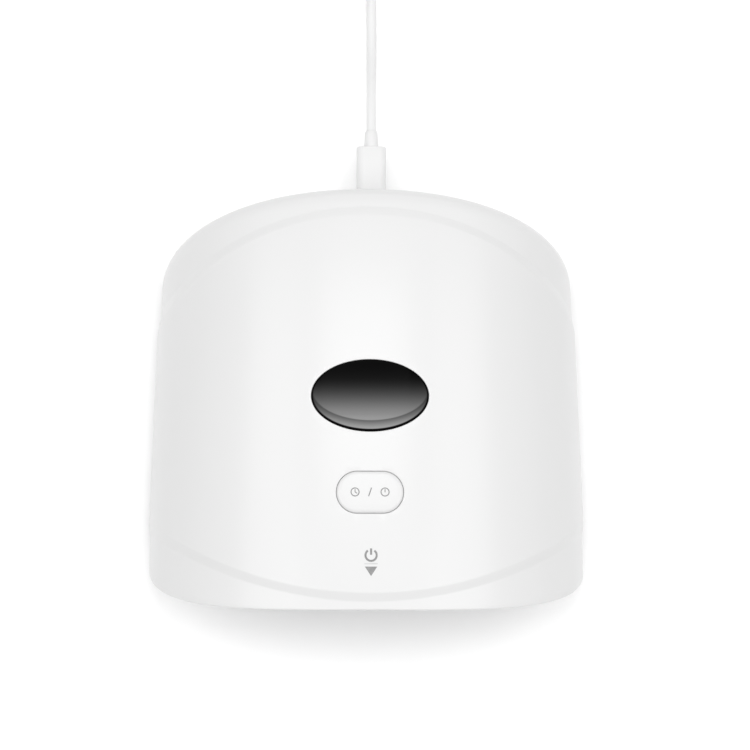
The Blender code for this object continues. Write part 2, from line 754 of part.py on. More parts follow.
def build_lamps():
    """Three flat boards behind the reflector carry the lamps, which look through its holes."""
    middle, normal = facet_frame()
    tilt = math.atan2(normal.x, normal.y)
    stand = LINER_WALL + GAP
    lamp_profile = (
        (0.9 * MM, -3.3 * MM),
        (1.9 * MM, -2.9 * MM),
        (2.6 * MM, -2.1 * MM),
        (2.7 * MM, -1.4 * MM),
        (LED_RADIUS, -1.4 * MM),
        (LED_RADIUS, 0),
    )
    groups = (
        ("roof", 50 * MM, (0, TUNNEL_ROOF), 0.0, (-ROOF_LED_X, ROOF_LED_X)),
        ("left", 24 * MM, (-middle.x, middle.y), -tilt, (0.0,)),
        ("right", 24 * MM, (middle.x, middle.y), tilt, (0.0,)),
    )
    board_y = sum(LED_ROWS_Y) / len(LED_ROWS_Y)
    for side, width, (x, z), lean, columns in groups:
        place = Matrix.Translation((x, 0, z)) @ Matrix.Rotation(lean, 4, "Y")
        outline = rounded_rectangle(width, LED_BOARD_LENGTH, 1.0 * MM, 1)
        mesh = prism(side + "_led_board", outline, 0, LED_BOARD_THICKNESS)
        board = finish(side + "_led_board", mesh, WHITE, 0.4)
        board.matrix_world = place @ Matrix.Translation((0, board_y, stand))
        number = 0
        for column in columns:
            for y in LED_ROWS_Y:
                number += 1
                name = f"{side}_uv_led_{number}"
                lamp = finish(name, turned(name, lamp_profile, 12), VIOLET, 0.1, 0.0, 0.5)
                lamp.matrix_world = place @ Matrix.Translation((column, y, stand - GAP))


def build_hand_sensor():
    top = TUNNEL_ROOF + LINER_WALL + GAP
    outline = rounded_rectangle(18 * MM, 8 * MM, 1.0 * MM, 1)
    board = finish("sensor_board", prism("sensor_board", outline, 0, 1.2 * MM), GREEN, 0.4)
    board.location = (0, SENSOR_Y, top)
    eye_profile = (
        (0.5 * MM, -3.2 * MM),
        (1.2 * MM, -2.8 * MM),
        (SENSOR_RADIUS, -2.0 * MM),
        (SENSOR_RADIUS, 0),
    )
    for name, side, colour in (("infrared_emitter", -1, (0.75, 0.8, 0.9)), ("infrared_receiver", 1, BLACK)):
        eye = finish(name, turned(name, eye_profile, 12), colour, 0.15)
        eye.location = (side * SENSOR_SPACING / 2, SENSOR_Y, top - GAP)


# ------------------------------------------------------------ wires and leads


def smooth_route(points, spacing):
    """Reads evenly spaced points from a smooth curve through the given ones."""
    ends = [2 * points[0] - points[1], *points, 2 * points[-1] - points[-2]]
    fine = []
    for before, start, end, after in zip(ends, ends[1:], ends[2:], ends[3:]):
        for step in range(20):
            t = step / 20
            bend = (2 * before - 5 * start + 4 * end - after) * t**2
            twist = (3 * start - before - 3 * end + after) * t**3
            fine.append((2 * start + (end - before) * t + bend + twist) / 2)
    fine.append(points[-1])
    total = sum((b - a).length for a, b in zip(fine, fine[1:]))
    count = max(2, round(total / spacing))
    even = [fine[0]]
    travelled = 0.0
    for a, b in zip(fine, fine[1:]):
        travelled += (b - a).length
        if travelled >= total * len(even) / count and len(even) < count:
            even.append(b)
    even.append(fine[-1])
    return even


def tube(name, points, radius, colour, spacing, sides=2):
    curve = bpy.data.curves.new(name, "CURVE")
    curve.dimensions = "3D"
    curve.bevel_depth = radius
    curve.bevel_resolution = sides
    curve.use_fill_caps = True
    spline = curve.splines.new("POLY")
    route = smooth_route(points, spacing)
    spline.points.add(len(route) - 1)
    for slot, point in zip(spline.points, route):
        slot.co = (*point, 1.0)
    curve.materials.append(material(name + "_material", colour, 0.5))
    made = bpy.data.objects.new(name, curve)
    bpy.context.scene.collection.objects.link(made)
    return made


def build_inner_wires():
    edge_z = BOARD_BOTTOM + BOARD_THICKNESS / 2
    side_x = BOARD_HALF_WIDTH + 1.5 * MM
    roof_board_top = TUNNEL_ROOF + LINER_WALL + GAP + LED_BOARD_THICKNESS
    wire = 0.8 * MM
    side_y = -16 * MM
    roof_x = 8 * MM
    power_x = -9 * MM
    back_y = BOARD_Y[1] + 1.2 * MM
    middle, normal = facet_frame()
    face = middle + normal * (LINER_WALL + GAP + LED_BOARD_THICKNESS + 0.6 * MM)
    for side, name in ((-1, "left_lamp_wire"), (1, "right_lamp_wire")):
        route = [
            Vector((side * face.x, -20 * MM, face.y)),
            Vector((side * (face.x + normal.x * 5 * MM), -20 * MM, face.y + normal.y * 5 * MM)),
            Vector((side * 41 * MM, -18 * MM, 49 * MM)),
            Vector((side * (side_x + 4 * MM), side_y, edge_z)),
            Vector((side * side_x, side_y, edge_z)),
        ]
        tube(name, route, wire, (0.7, 0.1, 0.08), 3 * MM, 1)
    roof = [
        Vector((10 * MM, 15 * MM, roof_board_top + 0.6 * MM)),
        Vector((10 * MM, 15.5 * MM, roof_board_top + 2.2 * MM)),
        Vector((9 * MM, 23 * MM, 50 * MM)),
        Vector((roof_x, 24.5 * MM, edge_z)),
        Vector((roof_x, back_y, edge_z)),
    ]
    tube("roof_lamp_wire", roof, wire, (0.75, 0.7, 0.1), 2.5 * MM, 1)
    sensor = [
        Vector((0, SENSOR_Y + 1 * MM, roof_board_top + 0.6 * MM)),
        Vector((0, SENSOR_Y + 1.2 * MM, roof_board_top + 3 * MM)),
        Vector((0, SENSOR_Y + 5 * MM, edge_z)),
        Vector((0, BOARD_Y[0] - 1.2 * MM, edge_z)),
    ]
    tube("sensor_wire", sensor, wire, (0.1, 0.2, 0.6), 2.5 * MM, 1)
    power = [
        Vector((-6 * MM, 61 * MM, SOCKET_Z - 1.4 * MM)),
        Vector((-6 * MM, 61 * MM, 20 * MM)),
        Vector((-7 * MM, 60.5 * MM, 38 * MM)),
        Vector((-8 * MM, 54 * MM, 49 * MM)),
        Vector((power_x, 38 * MM, 50.5 * MM)),
        Vector((power_x, 27 * MM, edge_z)),
        Vector((power_x, back_y, edge_z)),
    ]
    tube("power_wire", power, wire, (0.6, 0.05, 0.05), 5 * MM, 1)


def cup(name, outer, bore, wall_corner, mouth_y, floor_y, back_y):
    """A rectangular tube along Y, open at its mouth and closed at its back."""
    outer_loop = rounded_rectangle(*outer, wall_corner, 2)
    bore_loop = rounded_rectangle(*bore, wall_corner * 0.7, 2)
    loops = [along_y(outer_loop, back_y), along_y(outer_loop, mouth_y)]
    loops += [along_y(bore_loop, mouth_y), along_y(bore_loop, floor_y)]
    return loft(name, loops)


def build_usb_socket():
    back = SOCKET_MOUTH - SOCKET_DEPTH
    floor = back + 0.5 * MM
    mesh = cup("usb_socket", SOCKET_SIZE, SOCKET_BORE, 0.6 * MM, SOCKET_MOUTH, floor, back)
    socket = finish("usb_socket", mesh, STEEL, 0.25, 1.0)
    socket.location = (SOCKET_X, 0, SOCKET_Z)
    outline = rounded_rectangle(4.6 * MM, 0.6 * MM, 0.1 * MM, 1)
    tongue_loops = [along_y(outline, floor + 0.1 * MM), along_y(outline, SOCKET_MOUTH - 0.8 * MM)]
    tongue = finish("usb_socket_tongue", loft("usb_socket_tongue", tongue_loops), BLACK, 0.5)
    tongue.location = (SOCKET_X, 0, SOCKET_Z)

    board_y = 66.0 * MM
    thickness = 1.2 * MM
    board_bottom = SOCKET_Z - SOCKET_SIZE[1] / 2 - GAP - thickness
    outline = rounded_rectangle(18 * MM, 12.6 * MM, 0.8 * MM, 1)
    board = finish("usb_board", prism("usb_board", outline, 0, thickness), GREEN, 0.4)
    board.location = (0, board_y, board_bottom)
    stand_bottom = FRAME_TOP + GAP
    stand_height = board_bottom - GAP - stand_bottom
    stand_mesh = chamfered_block("usb_board_support", (16 * MM, 10 * MM, stand_height), 0.8 * MM)
    stand = finish("usb_board_support", stand_mesh, WHITE, 0.5)
    stand.location = (0, board_y, stand_bottom)


def build_usb_lead():
    """Everything on the lead hangs from an empty on the plug's sliding axis."""
    axis = bpy.data.objects.new("usb_lead_axis", None)
    bpy.context.scene.collection.objects.link(axis)
    axis.location = (SOCKET_X, HALF_LENGTH, SOCKET_Z)

    tip = SOCKET_MOUTH - PLUG_REACH - HALF_LENGTH
    start = GAP - PORT_RECESS_DEPTH
    bore = tuple(side - 2 * PLUG_SHELL_WALL for side in PLUG_SHELL)
    shell_back = start - GAP
    shell_floor = shell_back - 1.0 * MM
    mesh = cup("plug_shell", PLUG_SHELL, bore, 0.5 * MM, tip, shell_floor, shell_back)
    shell = finish("plug_shell", mesh, STEEL, 0.25, 1.0)

    end = OVERMOLD_END - HALF_LENGTH
    width, height = OVERMOLD_SIZE
    corner = 2.4 * MM
    edges = (
        (0.6 * MM, start),
        (0.0, start + 0.6 * MM),
        (0.0, end - 0.4 * MM),
        (0.5 * MM, end),
    )
    loops = []
    for shrink, y in edges:
        outline = rounded_rectangle(width - 2 * shrink, height - 2 * shrink, corner - shrink, 4)
        loops.append(along_y(outline, y))
    overmold = finish("plug_overmold", loft("plug_overmold", loops), WHITE, 0.45)

    relief_start = end + GAP
    relief_end = RELIEF_END - HALF_LENGTH
    thick, thin = RELIEF_RADIUS
    rings = (
        (thick, relief_start),
        (thin, relief_end - 0.9 * MM),
        (thin - 0.5 * MM, relief_end),
    )
    relief_loops = [along_y(circle(radius, 20), y) for radius, y in rings]
    relief = finish("strain_relief", loft("strain_relief", relief_loops), WHITE, 0.45)
    for piece in (shell, overmold, relief):
        piece.parent = axis

    cord = tube("cord_run", list(CORD_ROUTE), CORD_RADIUS, WHITE, CORD_SPACING)
    ring = build_coil()
    tie = build_tie()
    usb_a = build_usb_a_plug()
    bpy.context.view_layer.update()
    for piece in (cord, ring, tie, *usb_a):
        piece.parent = axis
        piece.matrix_parent_inverse = axis.matrix_world.inverted()


def build_coil():
    """The outer shape of the coiled length of lead."""
    section = rounded_rectangle(2 * COIL_HALF_WIDTH, COIL_HEIGHT, CORD_RADIUS, 2)
    middle_z = COIL_BOTTOM + COIL_HEIGHT / 2
    loops = []
    turns = 40
    for i in range(turns):
        angle = 2 * math.pi * i / turns
        spoke = Vector((math.cos(angle), math.sin(angle), 0))
        loop = []
        for out, up in section:
            loop.append(spoke * (COIL_MEAN_RADIUS + out) + Vector((0, 0, middle_z + up)))
        loops.append(loop)
    ring = finish("cord_coil", loft("cord_coil", loops, closed=True), WHITE, 0.5)
    ring.location = COIL_CENTRE
    return ring


def build_tie():
    """A strap round the coil's section."""
    width = 2 * COIL_HALF_WIDTH + 1.0 * MM
    height = COIL_HEIGHT + 0.2 * MM
    wide = width + 2 * TIE_THICKNESS
    tall = height + 2 * TIE_THICKNESS
    inner = rounded_rectangle(width, height, CORD_RADIUS, 2)
    outer = rounded_rectangle(wide, tall, CORD_RADIUS + TIE_THICKNESS, 2)
    half = TIE_WIDTH / 2
    edges = ((inner, -half), (outer, -half), (outer, half), (inner, half))
    loops = [along_y(outline, y) for outline, y in edges]
    tie = finish("cord_tie", loft("cord_tie", loops, closed=True), BLACK, 0.7)
    spoke = Vector((math.cos(TIE_ANGLE), math.sin(TIE_ANGLE), 0))
    middle = Vector((0, 0, COIL_BOTTOM + COIL_HEIGHT / 2))
    tie.location = COIL_CENTRE + spoke * COIL_MEAN_RADIUS + middle
    tie.rotation_euler = (0, 0, TIE_ANGLE)
    return tie


def build_usb_a_plug():
    """The far plug lies flat beside the coil, pointing to -X."""
    cord_y = COIL_CENTRE.y + COIL_MEAN_RADIUS + COIL_HALF_WIDTH - CORD_RADIUS
    start_x = COIL_CENTRE.x - 17.0 * MM
    middle_z = USB_A_SIZE[1] / 2 + 0.1 * MM
    turn = Matrix.Rotation(math.pi / 2, 4, "Z")
    place = Matrix.Translation((start_x, cord_y + 4.0 * MM, middle_z)) @ turn
    width, height = USB_A_SIZE
    neck = rounded_rectangle(6.0 * MM, 5.6 * MM, 2.0 * MM, 4)
    full = rounded_rectangle(width, height, 2.2 * MM, 4)
    front = rounded_rectangle(width - 1.0 * MM, height - 1.0 * MM, 1.8 * MM, 4)
    loops = [
        along_y(neck, 0),
        along_y(neck, 4 * MM),
        along_y(full, 7 * MM),
        along_y(full, USB_A_LENGTH - 0.5 * MM),
        along_y(front, USB_A_LENGTH),
    ]
    overmold = finish("usb_a_overmold", loft("usb_a_overmold", loops), WHITE, 0.45)
    overmold.matrix_world = place
    back = USB_A_LENGTH + GAP
    bore = (USB_A_SHELL[0] - 0.8 * MM, USB_A_SHELL[1] - 0.8 * MM)
    tip = back + USB_A_SHELL_LENGTH
    mesh = cup("usb_a_shell", USB_A_SHELL, bore, 0.4 * MM, tip, back + 0.5 * MM, back)
    shell = finish("usb_a_shell", mesh, STEEL, 0.25, 1.0)
    shell.matrix_world = place
    return overmold, shell


def clear_scene():
    for old in list(bpy.data.objects):
        bpy.data.objects.remove(old, do_unlink=True)


clear_scene()
build_top_shell()
build_front_bezel()
build_reflector_liner()
build_base_frame()
build_feet_and_screws()
build_display_lens()
build_timer_key()
build_switch_body()
build_control_board()
build_lamps()
build_hand_sensor()
build_inner_wires()
build_usb_socket()
build_usb_lead()
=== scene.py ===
"""Looks of the UV LED nail lamp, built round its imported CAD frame.

Lengths are in metres with +Z up.  The hand opening faces -Y and the USB socket +Y.
"""
import math

import bmesh
import bpy
from mathutils import Matrix, Vector


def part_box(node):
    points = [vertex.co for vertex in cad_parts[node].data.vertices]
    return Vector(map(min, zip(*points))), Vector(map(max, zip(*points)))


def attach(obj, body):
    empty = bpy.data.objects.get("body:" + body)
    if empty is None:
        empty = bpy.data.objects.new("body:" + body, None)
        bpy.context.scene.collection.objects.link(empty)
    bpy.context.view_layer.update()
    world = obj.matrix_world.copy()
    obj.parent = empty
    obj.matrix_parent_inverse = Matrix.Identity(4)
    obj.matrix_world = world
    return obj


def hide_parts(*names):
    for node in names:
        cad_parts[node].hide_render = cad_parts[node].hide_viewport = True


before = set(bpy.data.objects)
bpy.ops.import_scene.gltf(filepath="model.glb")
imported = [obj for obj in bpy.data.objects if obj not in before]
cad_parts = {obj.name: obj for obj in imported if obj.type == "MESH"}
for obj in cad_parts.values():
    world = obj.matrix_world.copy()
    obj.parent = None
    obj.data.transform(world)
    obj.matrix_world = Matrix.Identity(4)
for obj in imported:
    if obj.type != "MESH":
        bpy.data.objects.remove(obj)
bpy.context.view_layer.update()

MM = 0.001
MERGE = 0.001 * MM  # points closer than this are one point

# ---- camera and light

ELEVATION = math.radians(80.35)
SIDE_TILT = math.radians(-1.489)
ROLL = math.radians(0.258)
CAMERA_DISTANCE = 0.8
CAMERA_LENS = 104.35
TARGET = Vector((2.73, 12.89, 25.0)) * MM


def place_camera():
    camera = bpy.data.objects.new("camera", bpy.data.cameras.new("camera"))
    bpy.context.scene.collection.objects.link(camera)
    toward = Vector((0, -math.cos(ELEVATION), math.sin(ELEVATION)))
    right = Vector((1, 0, 0))
    up = toward.cross(right)
    back = toward * math.cos(SIDE_TILT) + right * math.sin(SIDE_TILT)
    side = right * math.cos(SIDE_TILT) - toward * math.sin(SIDE_TILT)
    across = side * math.cos(ROLL) + up * math.sin(ROLL)
    upward = up * math.cos(ROLL) - side * math.sin(ROLL)
    turn = Matrix((across, upward, back)).transposed().to_4x4()
    camera.matrix_world = Matrix.Translation(TARGET + back * CAMERA_DISTANCE) @ turn
    camera.data.lens = CAMERA_LENS
    camera.data.sensor_width = 36.0
    camera.data.clip_start = 0.01
    bpy.context.scene.camera = camera


def add_softbox(name, place, size, power, aim=(0, 0, 0.03)):
    light = bpy.data.lights.new(name, "AREA")
    light.shape = "RECTANGLE"
    light.size, light.size_y = size
    light.energy = power
    made = bpy.data.objects.new(name, light)
    made.location = place
    made.rotation_euler = (Vector(place) - Vector(aim)).to_track_quat("Z", "Y").to_euler()
    made.visible_camera = False
    bpy.context.scene.collection.objects.link(made)


def light_studio():
    for side in (-1, 1):
        add_softbox("top_softbox", (side * 0.66, -0.05, 1.25), (1.1, 0.6), 4.7)
        add_softbox("low_softbox", (side * 1.2, 0.1, 0.45), (0.5, 0.9), 0.3)
    add_softbox("front_softbox", (0, -0.27, 1.25), (0.9, 0.42), 1.9)
    add_softbox("middle_softbox", (0, 0.2, 1.25), (0.4, 0.42), 2.4)
    add_softbox("rear_softbox", (0, 1.4, 0.7), (1.2, 0.5), 1.2)
    world = bpy.data.worlds.new("studio")
    world.use_nodes = True
    sky = world.node_tree.nodes["Background"]
    sky.inputs["Color"].default_value = (1.0, 1.0, 1.0, 1.0)
    sky.inputs["Strength"].default_value = 0.64
    bpy.context.scene.world = world
    bpy.context.scene.view_settings.view_transform = "Standard"


# ---- materials


def grey(value):
    return (value, value, value)


def link_noise(tree, coords, scale, detail=4.0, stretch=None):
    """A noise texture in object space; stretch draws it out along one or more axes."""
    noise = tree.nodes.new("ShaderNodeTexNoise")
    noise.inputs["Scale"].default_value = scale
    noise.inputs["Detail"].default_value = detail
    source = coords.outputs["Object"]
    if stretch:
        mapping = tree.nodes.new("ShaderNodeMapping")
        mapping.inputs["Scale"].default_value = stretch
        tree.links.new(source, mapping.inputs["Vector"])
        source = mapping.outputs["Vector"]
    tree.links.new(source, noise.inputs["Vector"])
    return noise.outputs["Fac"]


def link_range(tree, value, low, high, start=0.3, end=0.7):
    """Spreads a value between start and end over low to high."""
    node = tree.nodes.new("ShaderNodeMapRange")
    tree.links.new(value, node.inputs["Value"])
    for name, number in (("From Min", start), ("From Max", end), ("To Min", low), ("To Max", high)):
        node.inputs[name].default_value = number
    return node.outputs["Result"]


def link_mix(tree, factor, first, second):
    """Mixes two colours, each a tuple or a socket."""
    node = tree.nodes.new("ShaderNodeMix")
    node.data_type = "RGBA"
    tree.links.new(factor, node.inputs[0])
    for socket, colour in ((node.inputs[6], first), (node.inputs[7], second)):
        if isinstance(colour, tuple):
            socket.default_value = (*colour, 1.0)
        else:
            tree.links.new(colour, socket)
    return node.outputs[2]


def make_material(name, low, high, rough, cloud=18.0, grain=2600.0, relief=0.01, stretch=None, fixed=None):
    """A moulded or finished surface.

    Its colour drifts between low and high over cloud-sized patches, its gloss varies with
    handling, and a fine grain of the given relief in millimetres breaks up its highlights.
    """
    made = bpy.data.materials.new(name)
    made.use_nodes = True
    tree = made.node_tree
    shader = tree.nodes["Principled BSDF"]
    coords = tree.nodes.new("ShaderNodeTexCoord")
    drift = link_range(tree, link_noise(tree, coords, cloud), 0.0, 1.0)
    tree.links.new(link_mix(tree, drift, low, high), shader.inputs["Base Color"])
    handling = link_noise(tree, coords, cloud * 4, 2.0, stretch)
    tree.links.new(link_range(tree, handling, *rough), shader.inputs["Roughness"])
    bump = tree.nodes.new("ShaderNodeBump")
    bump.inputs["Strength"].default_value = 0.6
    bump.inputs["Distance"].default_value = relief * MM
    tree.links.new(link_noise(tree, coords, grain, 3.0, stretch), bump.inputs["Height"])
    tree.links.new(bump.outputs["Normal"], shader.inputs["Normal"])
    for socket, value in (fixed or {}).items():
        shader.inputs[socket].default_value = value
    return made


# Painted reflection on the lens, front (-Y) to rear: place in millimetres and shade, grey in front fading to
# black at the rear
LENS_PAINTED_REFLECTION = (
    (-13.0, 0.27), (-10.0, 0.255), (-7.7, 0.215), (-3.4, 0.096),
    (0.9, 0.022), (5.0, 0.002), (12.0, 0.001),
)
PAINTED_REFLECTION_SPAN = (-13.5, 12.5)  # millimetres of Y that the shades span


def lens_material():
    """Smoked plastic with hardly any gloss; a painted reflection makes it black at the rear and grey in front
    of a soft edge, painted shadow darkens the groove there, and its dark rim is partly painted shadow of the
    gap round it.
    """
    made = make_material("smoked_lens_painted_reflection_look", grey(0.02), grey(0.024), (0.05, 0.08), grain=300.0, relief=0.001)
    tree = made.node_tree
    shader = tree.nodes["Principled BSDF"]
    shader.inputs["Specular IOR Level"].default_value = 0.008
    coords = tree.nodes.new("ShaderNodeTexCoord")
    place = tree.nodes.new("ShaderNodeSeparateXYZ")
    tree.links.new(coords.outputs["Object"], place.inputs["Vector"])

    def math_node(kind, first, second):
        node = tree.nodes.new("ShaderNodeMath")
        node.operation = kind
        for socket, value in zip(node.inputs, (first, second)):
            if isinstance(value, float):
                socket.default_value = value
            else:
                tree.links.new(value, socket)
        return node.outputs[0]

    def reach(centre_y, half_x, half_y):
        """0 at an ellipse's centre and 1 on its edge."""
        x = math_node("DIVIDE", place.outputs["X"], half_x)
        y = math_node("DIVIDE", math_node("SUBTRACT", place.outputs["Y"], centre_y), half_y)
        squares = math_node("ADD", math_node("MULTIPLY", x, x), math_node("MULTIPLY", y, y))
        return math_node("POWER", squares, 0.5)

    # Painted reflection: a grey ramp along Y that stands in for what the lens would reflect, black at the
    # rear
    front, rear = PAINTED_REFLECTION_SPAN
    reflection_fade = link_range(tree, place.outputs["Y"], 0.0, 1.0, front * MM, rear * MM)
    reflection_ramp = tree.nodes.new("ShaderNodeValToRGB")
    tree.links.new(reflection_fade, reflection_ramp.inputs["Fac"])
    reflection_ramp.color_ramp.interpolation = "B_SPLINE"
    while len(reflection_ramp.color_ramp.elements) < len(LENS_PAINTED_REFLECTION):
        reflection_ramp.color_ramp.elements.new(0.5)
    for element, (y, shade) in zip(reflection_ramp.color_ramp.elements, LENS_PAINTED_REFLECTION):
        element.position = (y - front) / (rear - front)
        element.color = (shade, shade, shade, 1.0)
    # Painted shadow: darkens the colour along the groove round the inner oval, fading out beyond it
    inner = reach(INNER_LENS_Y, *INNER_LENS_HALF)
    groove_shade = link_range(tree, inner, 0.0, 0.62, 0.985, 1.015)
    groove_shade_falloff = link_range(tree, inner, 1.0, 0.0, 1.02, 1.24)
    painted_groove_shadow = math_node("MULTIPLY", groove_shade, groove_shade_falloff)
    colour = link_mix(tree, painted_groove_shadow, reflection_ramp.outputs["Color"], grey(0.01))
    # Dark rim round the lens: partly the lens's own black edge, partly painted shadow of the gap between lens
    # and hood
    rim = link_range(tree, reach(WINDOW_Y + 0.12 * MM, *LENS_RIM_AND_GAP_SHADOW_HALF), 0.0, 1.0, 0.985, 1.005)
    tree.links.new(link_mix(tree, rim, colour, grey(0.002)), shader.inputs["Base Color"])
    return made


# ---- driving shapes

GAP = 0.3 * MM
HALF_WIDTH_FRONT = 80.9 * MM
HALF_WIDTH_BACK = 76.3 * MM
HALF_LENGTH = 75.5 * MM
CROWN = 63.2 * MM
CROWN_FALL = 0.05
ARCH_POWER = 2.5
SHELL_BASE = 2.0 * MM
WALL = 2.2 * MM
BAND_RAISE = 0.8 * MM
LIP_LEAN = 22.0 * MM
LIP_CURVE = 1.35
LIP_ROUNDING = 0.5 * MM
FRONT_CREASE_Y = -72.5 * MM
FRONT_CREASE_RADIUS = 131.0 * MM
BACK_CREASE_Y = 67.6 * MM
BACK_CREASE_RADIUS = 109.0 * MM
CREASE_WIDTH = 2.9 * MM
CREASE_BLEND = 0.35 * MM
BACK_BOW = 28.5 * MM
BACK_FILLET = 6.0 * MM
ARCH_SEGMENTS = 160

TUNNEL_HALF_WIDTH = 58.0 * MM
TUNNEL_SIDE_TOP = 19.0 * MM
TUNNEL_ROOF_HALF = 28.0 * MM
TUNNEL_ROOF = 43.0 * MM
TUNNEL_BEND = 7.0 * MM
TUNNEL_BACK = 56.0 * MM
LINER_WALL = 1.5 * MM
BEZEL_RECESS = 1.5 * MM
BEZEL_THICKNESS = 2.0 * MM
FRAME_BOTTOM = 2.2 * MM
FRAME_TOP = 4.4 * MM
FRAME_CORNER = 4.0 * MM

WINDOW_Y = -0.9 * MM
WINDOW_HALF = (20.65 * MM, 12.8 * MM)
# Half sizes of the dark rim painted on the lens, partly its black edge and partly painted shadow of the gap
LENS_RIM_AND_GAP_SHADOW_HALF = (20.05 * MM, 12.0 * MM)
LENS_GAP = 0.06 * MM
INNER_LENS_Y = 1.2 * MM
INNER_LENS_HALF = (20.2 * MM, 10.9 * MM)
KEY_Y = -34.85 * MM
KEY_SIZE = (23.5 * MM, 14.7 * MM)
KEY_RAISE = 0.5 * MM
KEY_GAP = 0.1 * MM
LENS_RAISE = 0.1 * MM
OVAL_REACH = 0.97  # the inner oval's limit, as a share of the way to the rim
GROOVE_FADE = 0.06  # its groove dies out over this share
BAND_REACH = 0.975
CUTTER_BOTTOM = 57.0 * MM
CUTTER_TOP = 70.0 * MM
SOCKET_X = 1.6 * MM
SOCKET_Z = 12.5 * MM

LED_ROWS_Y = (-42.0 * MM, -2.0 * MM, 38.0 * MM)
ROOF_LED_X = 14.0 * MM
SENSOR_Y = -59.0 * MM
SENSOR_X = 4.0 * MM
FLOOR_DROP = 0.1 * MM
PLUG_GRIP = (11.1 * MM, 7.6 * MM)

CORD_RADIUS = 1.8 * MM
COIL_CENTRE = Vector((-24.0, 198.5, 0.0)) * MM
# Points of the lead in millimetres
CORD_ROUTE = (
    (1.6, 108.7, 12.5), (1.6, 113.0, 12.4), (1.6, 118.0, 11.9), (1.7, 127.0, 8.6), (1.9, 136.0, 4.3),
    (2.0, 146.0, 2.0), (1.9, 158.0, 1.85), (1.7, 171.0, 2.0), (1.5, 183.6, 2.4), (1.45, 191.0, 2.4),
)
LOWER_TURNS = (25.4, 21.8, 18.2, 14.6)
UPPER_TURNS = (16.4, 20.0, 23.6)
LAYER_Z = (2.4, 5.52)
LEAVING_RADIUS = 27.2
# The end of the lead climbs down the coil's outside: angle in degrees, radius and height
CORD_DESCENT = (
    (0, 27.2, 5.6), (15, 27.9, 5.0), (28, 28.5, 4.3), (42, 29.0, 3.0),
    (56, 29.3, 2.0), (70, 29.3, 1.85), (84, 29.4, 1.85), (96, 29.45, 1.95),
)
CORD_END = ((-33.5, 227.9, 2.7), (-38.0, 227.9, 3.7), (-41.5, 227.9, 4.1), (-44.0, 227.9, 4.1))
FAR_PLUG_PLACE = (-41.0, 227.9, 4.1)
TIE_ANGLE = 215.0  # degrees round the coil
TIE_RADIUS = 20.0 * MM
TIE_HEIGHT = 3.95 * MM

# ---- mesh helpers


def mesh_of(bm, name):
    if all(edge.is_manifold for edge in bm.edges):
        bmesh.ops.recalc_face_normals(bm, faces=bm.faces)
    mesh = bpy.data.meshes.new(name)
    bm.to_mesh(mesh)
    bm.free()
    return mesh


def add_loft(bm, loops, closed=False):
    """Joins loops of equal length; caps the two end loops unless closed."""
    rows = [[bm.verts.new(point) for point in loop] for loop in loops]
    pairs = list(zip(rows, rows[1:]))
    if closed:
        pairs.append((rows[-1], rows[0]))
    for lower, upper in pairs:
        for i, vertex in enumerate(lower):
            j = (i + 1) % len(lower)
            bm.faces.new((vertex, lower[j], upper[j], upper[i]))
    if not closed:
        bm.faces.new(rows[0][::-1])
        bm.faces.new(rows[-1])


def loft(name, loops, closed=False):
    bm = bmesh.new()
    add_loft(bm, loops, closed)
    return mesh_of(bm, name)


def grid_mesh(name, rows, end_face=False):
    """Joins rows of points to an open surface, facing out; closes its last row where asked."""
    bm = bmesh.new()
    lines = [[bm.verts.new(point) for point in row] for row in rows]
    for near, far in zip(lines, lines[1:]):
        for i in range(len(near) - 1):
            bm.faces.new((near[i], far[i], far[i + 1], near[i + 1]))
    if end_face:
        bm.faces.new(lines[-1][::-1])
    bmesh.ops.remove_doubles(bm, verts=bm.verts, dist=MERGE)
    bmesh.ops.dissolve_degenerate(bm, edges=bm.edges, dist=MERGE)
    return mesh_of(bm, name)


def stadium(width, depth, count=96):
    radius = depth / 2
    straight = width / 2 - radius
    points = []
    for i in range(count):
        angle = 2 * math.pi * (i + 0.5) / count
        x = math.copysign(straight, math.cos(angle)) + radius * math.cos(angle)
        points.append((x, radius * math.sin(angle)))
    return points


def rounded_rectangle(width, depth, radius, corner_steps=6):
    points = []
    for quarter, (sx, sy) in enumerate(((1, 1), (-1, 1), (-1, -1), (1, -1))):
        centre = (sx * (width / 2 - radius), sy * (depth / 2 - radius))
        for step in range(corner_steps + 1):
            angle = math.pi / 2 * (quarter + step / corner_steps)
            points.append((centre[0] + radius * math.cos(angle), centre[1] + radius * math.sin(angle)))
    return points


def ellipse(half_x, half_y, count=120):
    angles = [2 * math.pi * i / count for i in range(count)]
    return [(half_x * math.cos(angle), half_y * math.sin(angle)) for angle in angles]


def at_height(outline, z):
    return [(x, y, z) for x, y in outline]


def along_y(outline, y):
    """Stands an outline up, so that it faces along the Y axis."""
    return [(x, y, z) for x, z in outline]


def turned(name, profile, count=48):
    """A solid turned about Z; its profile lists (radius, z)."""
    return loft(name, [at_height(ellipse(radius, radius, count), z) for radius, z in profile])


def add_object(name, mesh, *looks):
    made = bpy.data.objects.new(name, mesh)
    bpy.context.scene.collection.objects.link(made)
    for look in looks:
        mesh.materials.append(look)
    return made


def settle(piece, sharp=30.0):
    """Applies a piece's modifiers and smooths its shading up to an angle in degrees."""
    graph = bpy.context.evaluated_depsgraph_get()
    mesh = bpy.data.meshes.new_from_object(piece.evaluated_get(graph))
    for modifier in piece.modifiers:
        if modifier.type == "BOOLEAN":
            bpy.data.objects.remove(modifier.object)
    piece.modifiers.clear()
    piece.data = mesh
    mesh.shade_smooth()
    mesh.set_sharp_from_angle(angle=math.radians(sharp))
    return piece


def thicken(piece, thickness, offset):
    modifier = piece.modifiers.new("wall", "SOLIDIFY")
    modifier.thickness = thickness
    modifier.offset = offset
    modifier.use_quality_normals = True


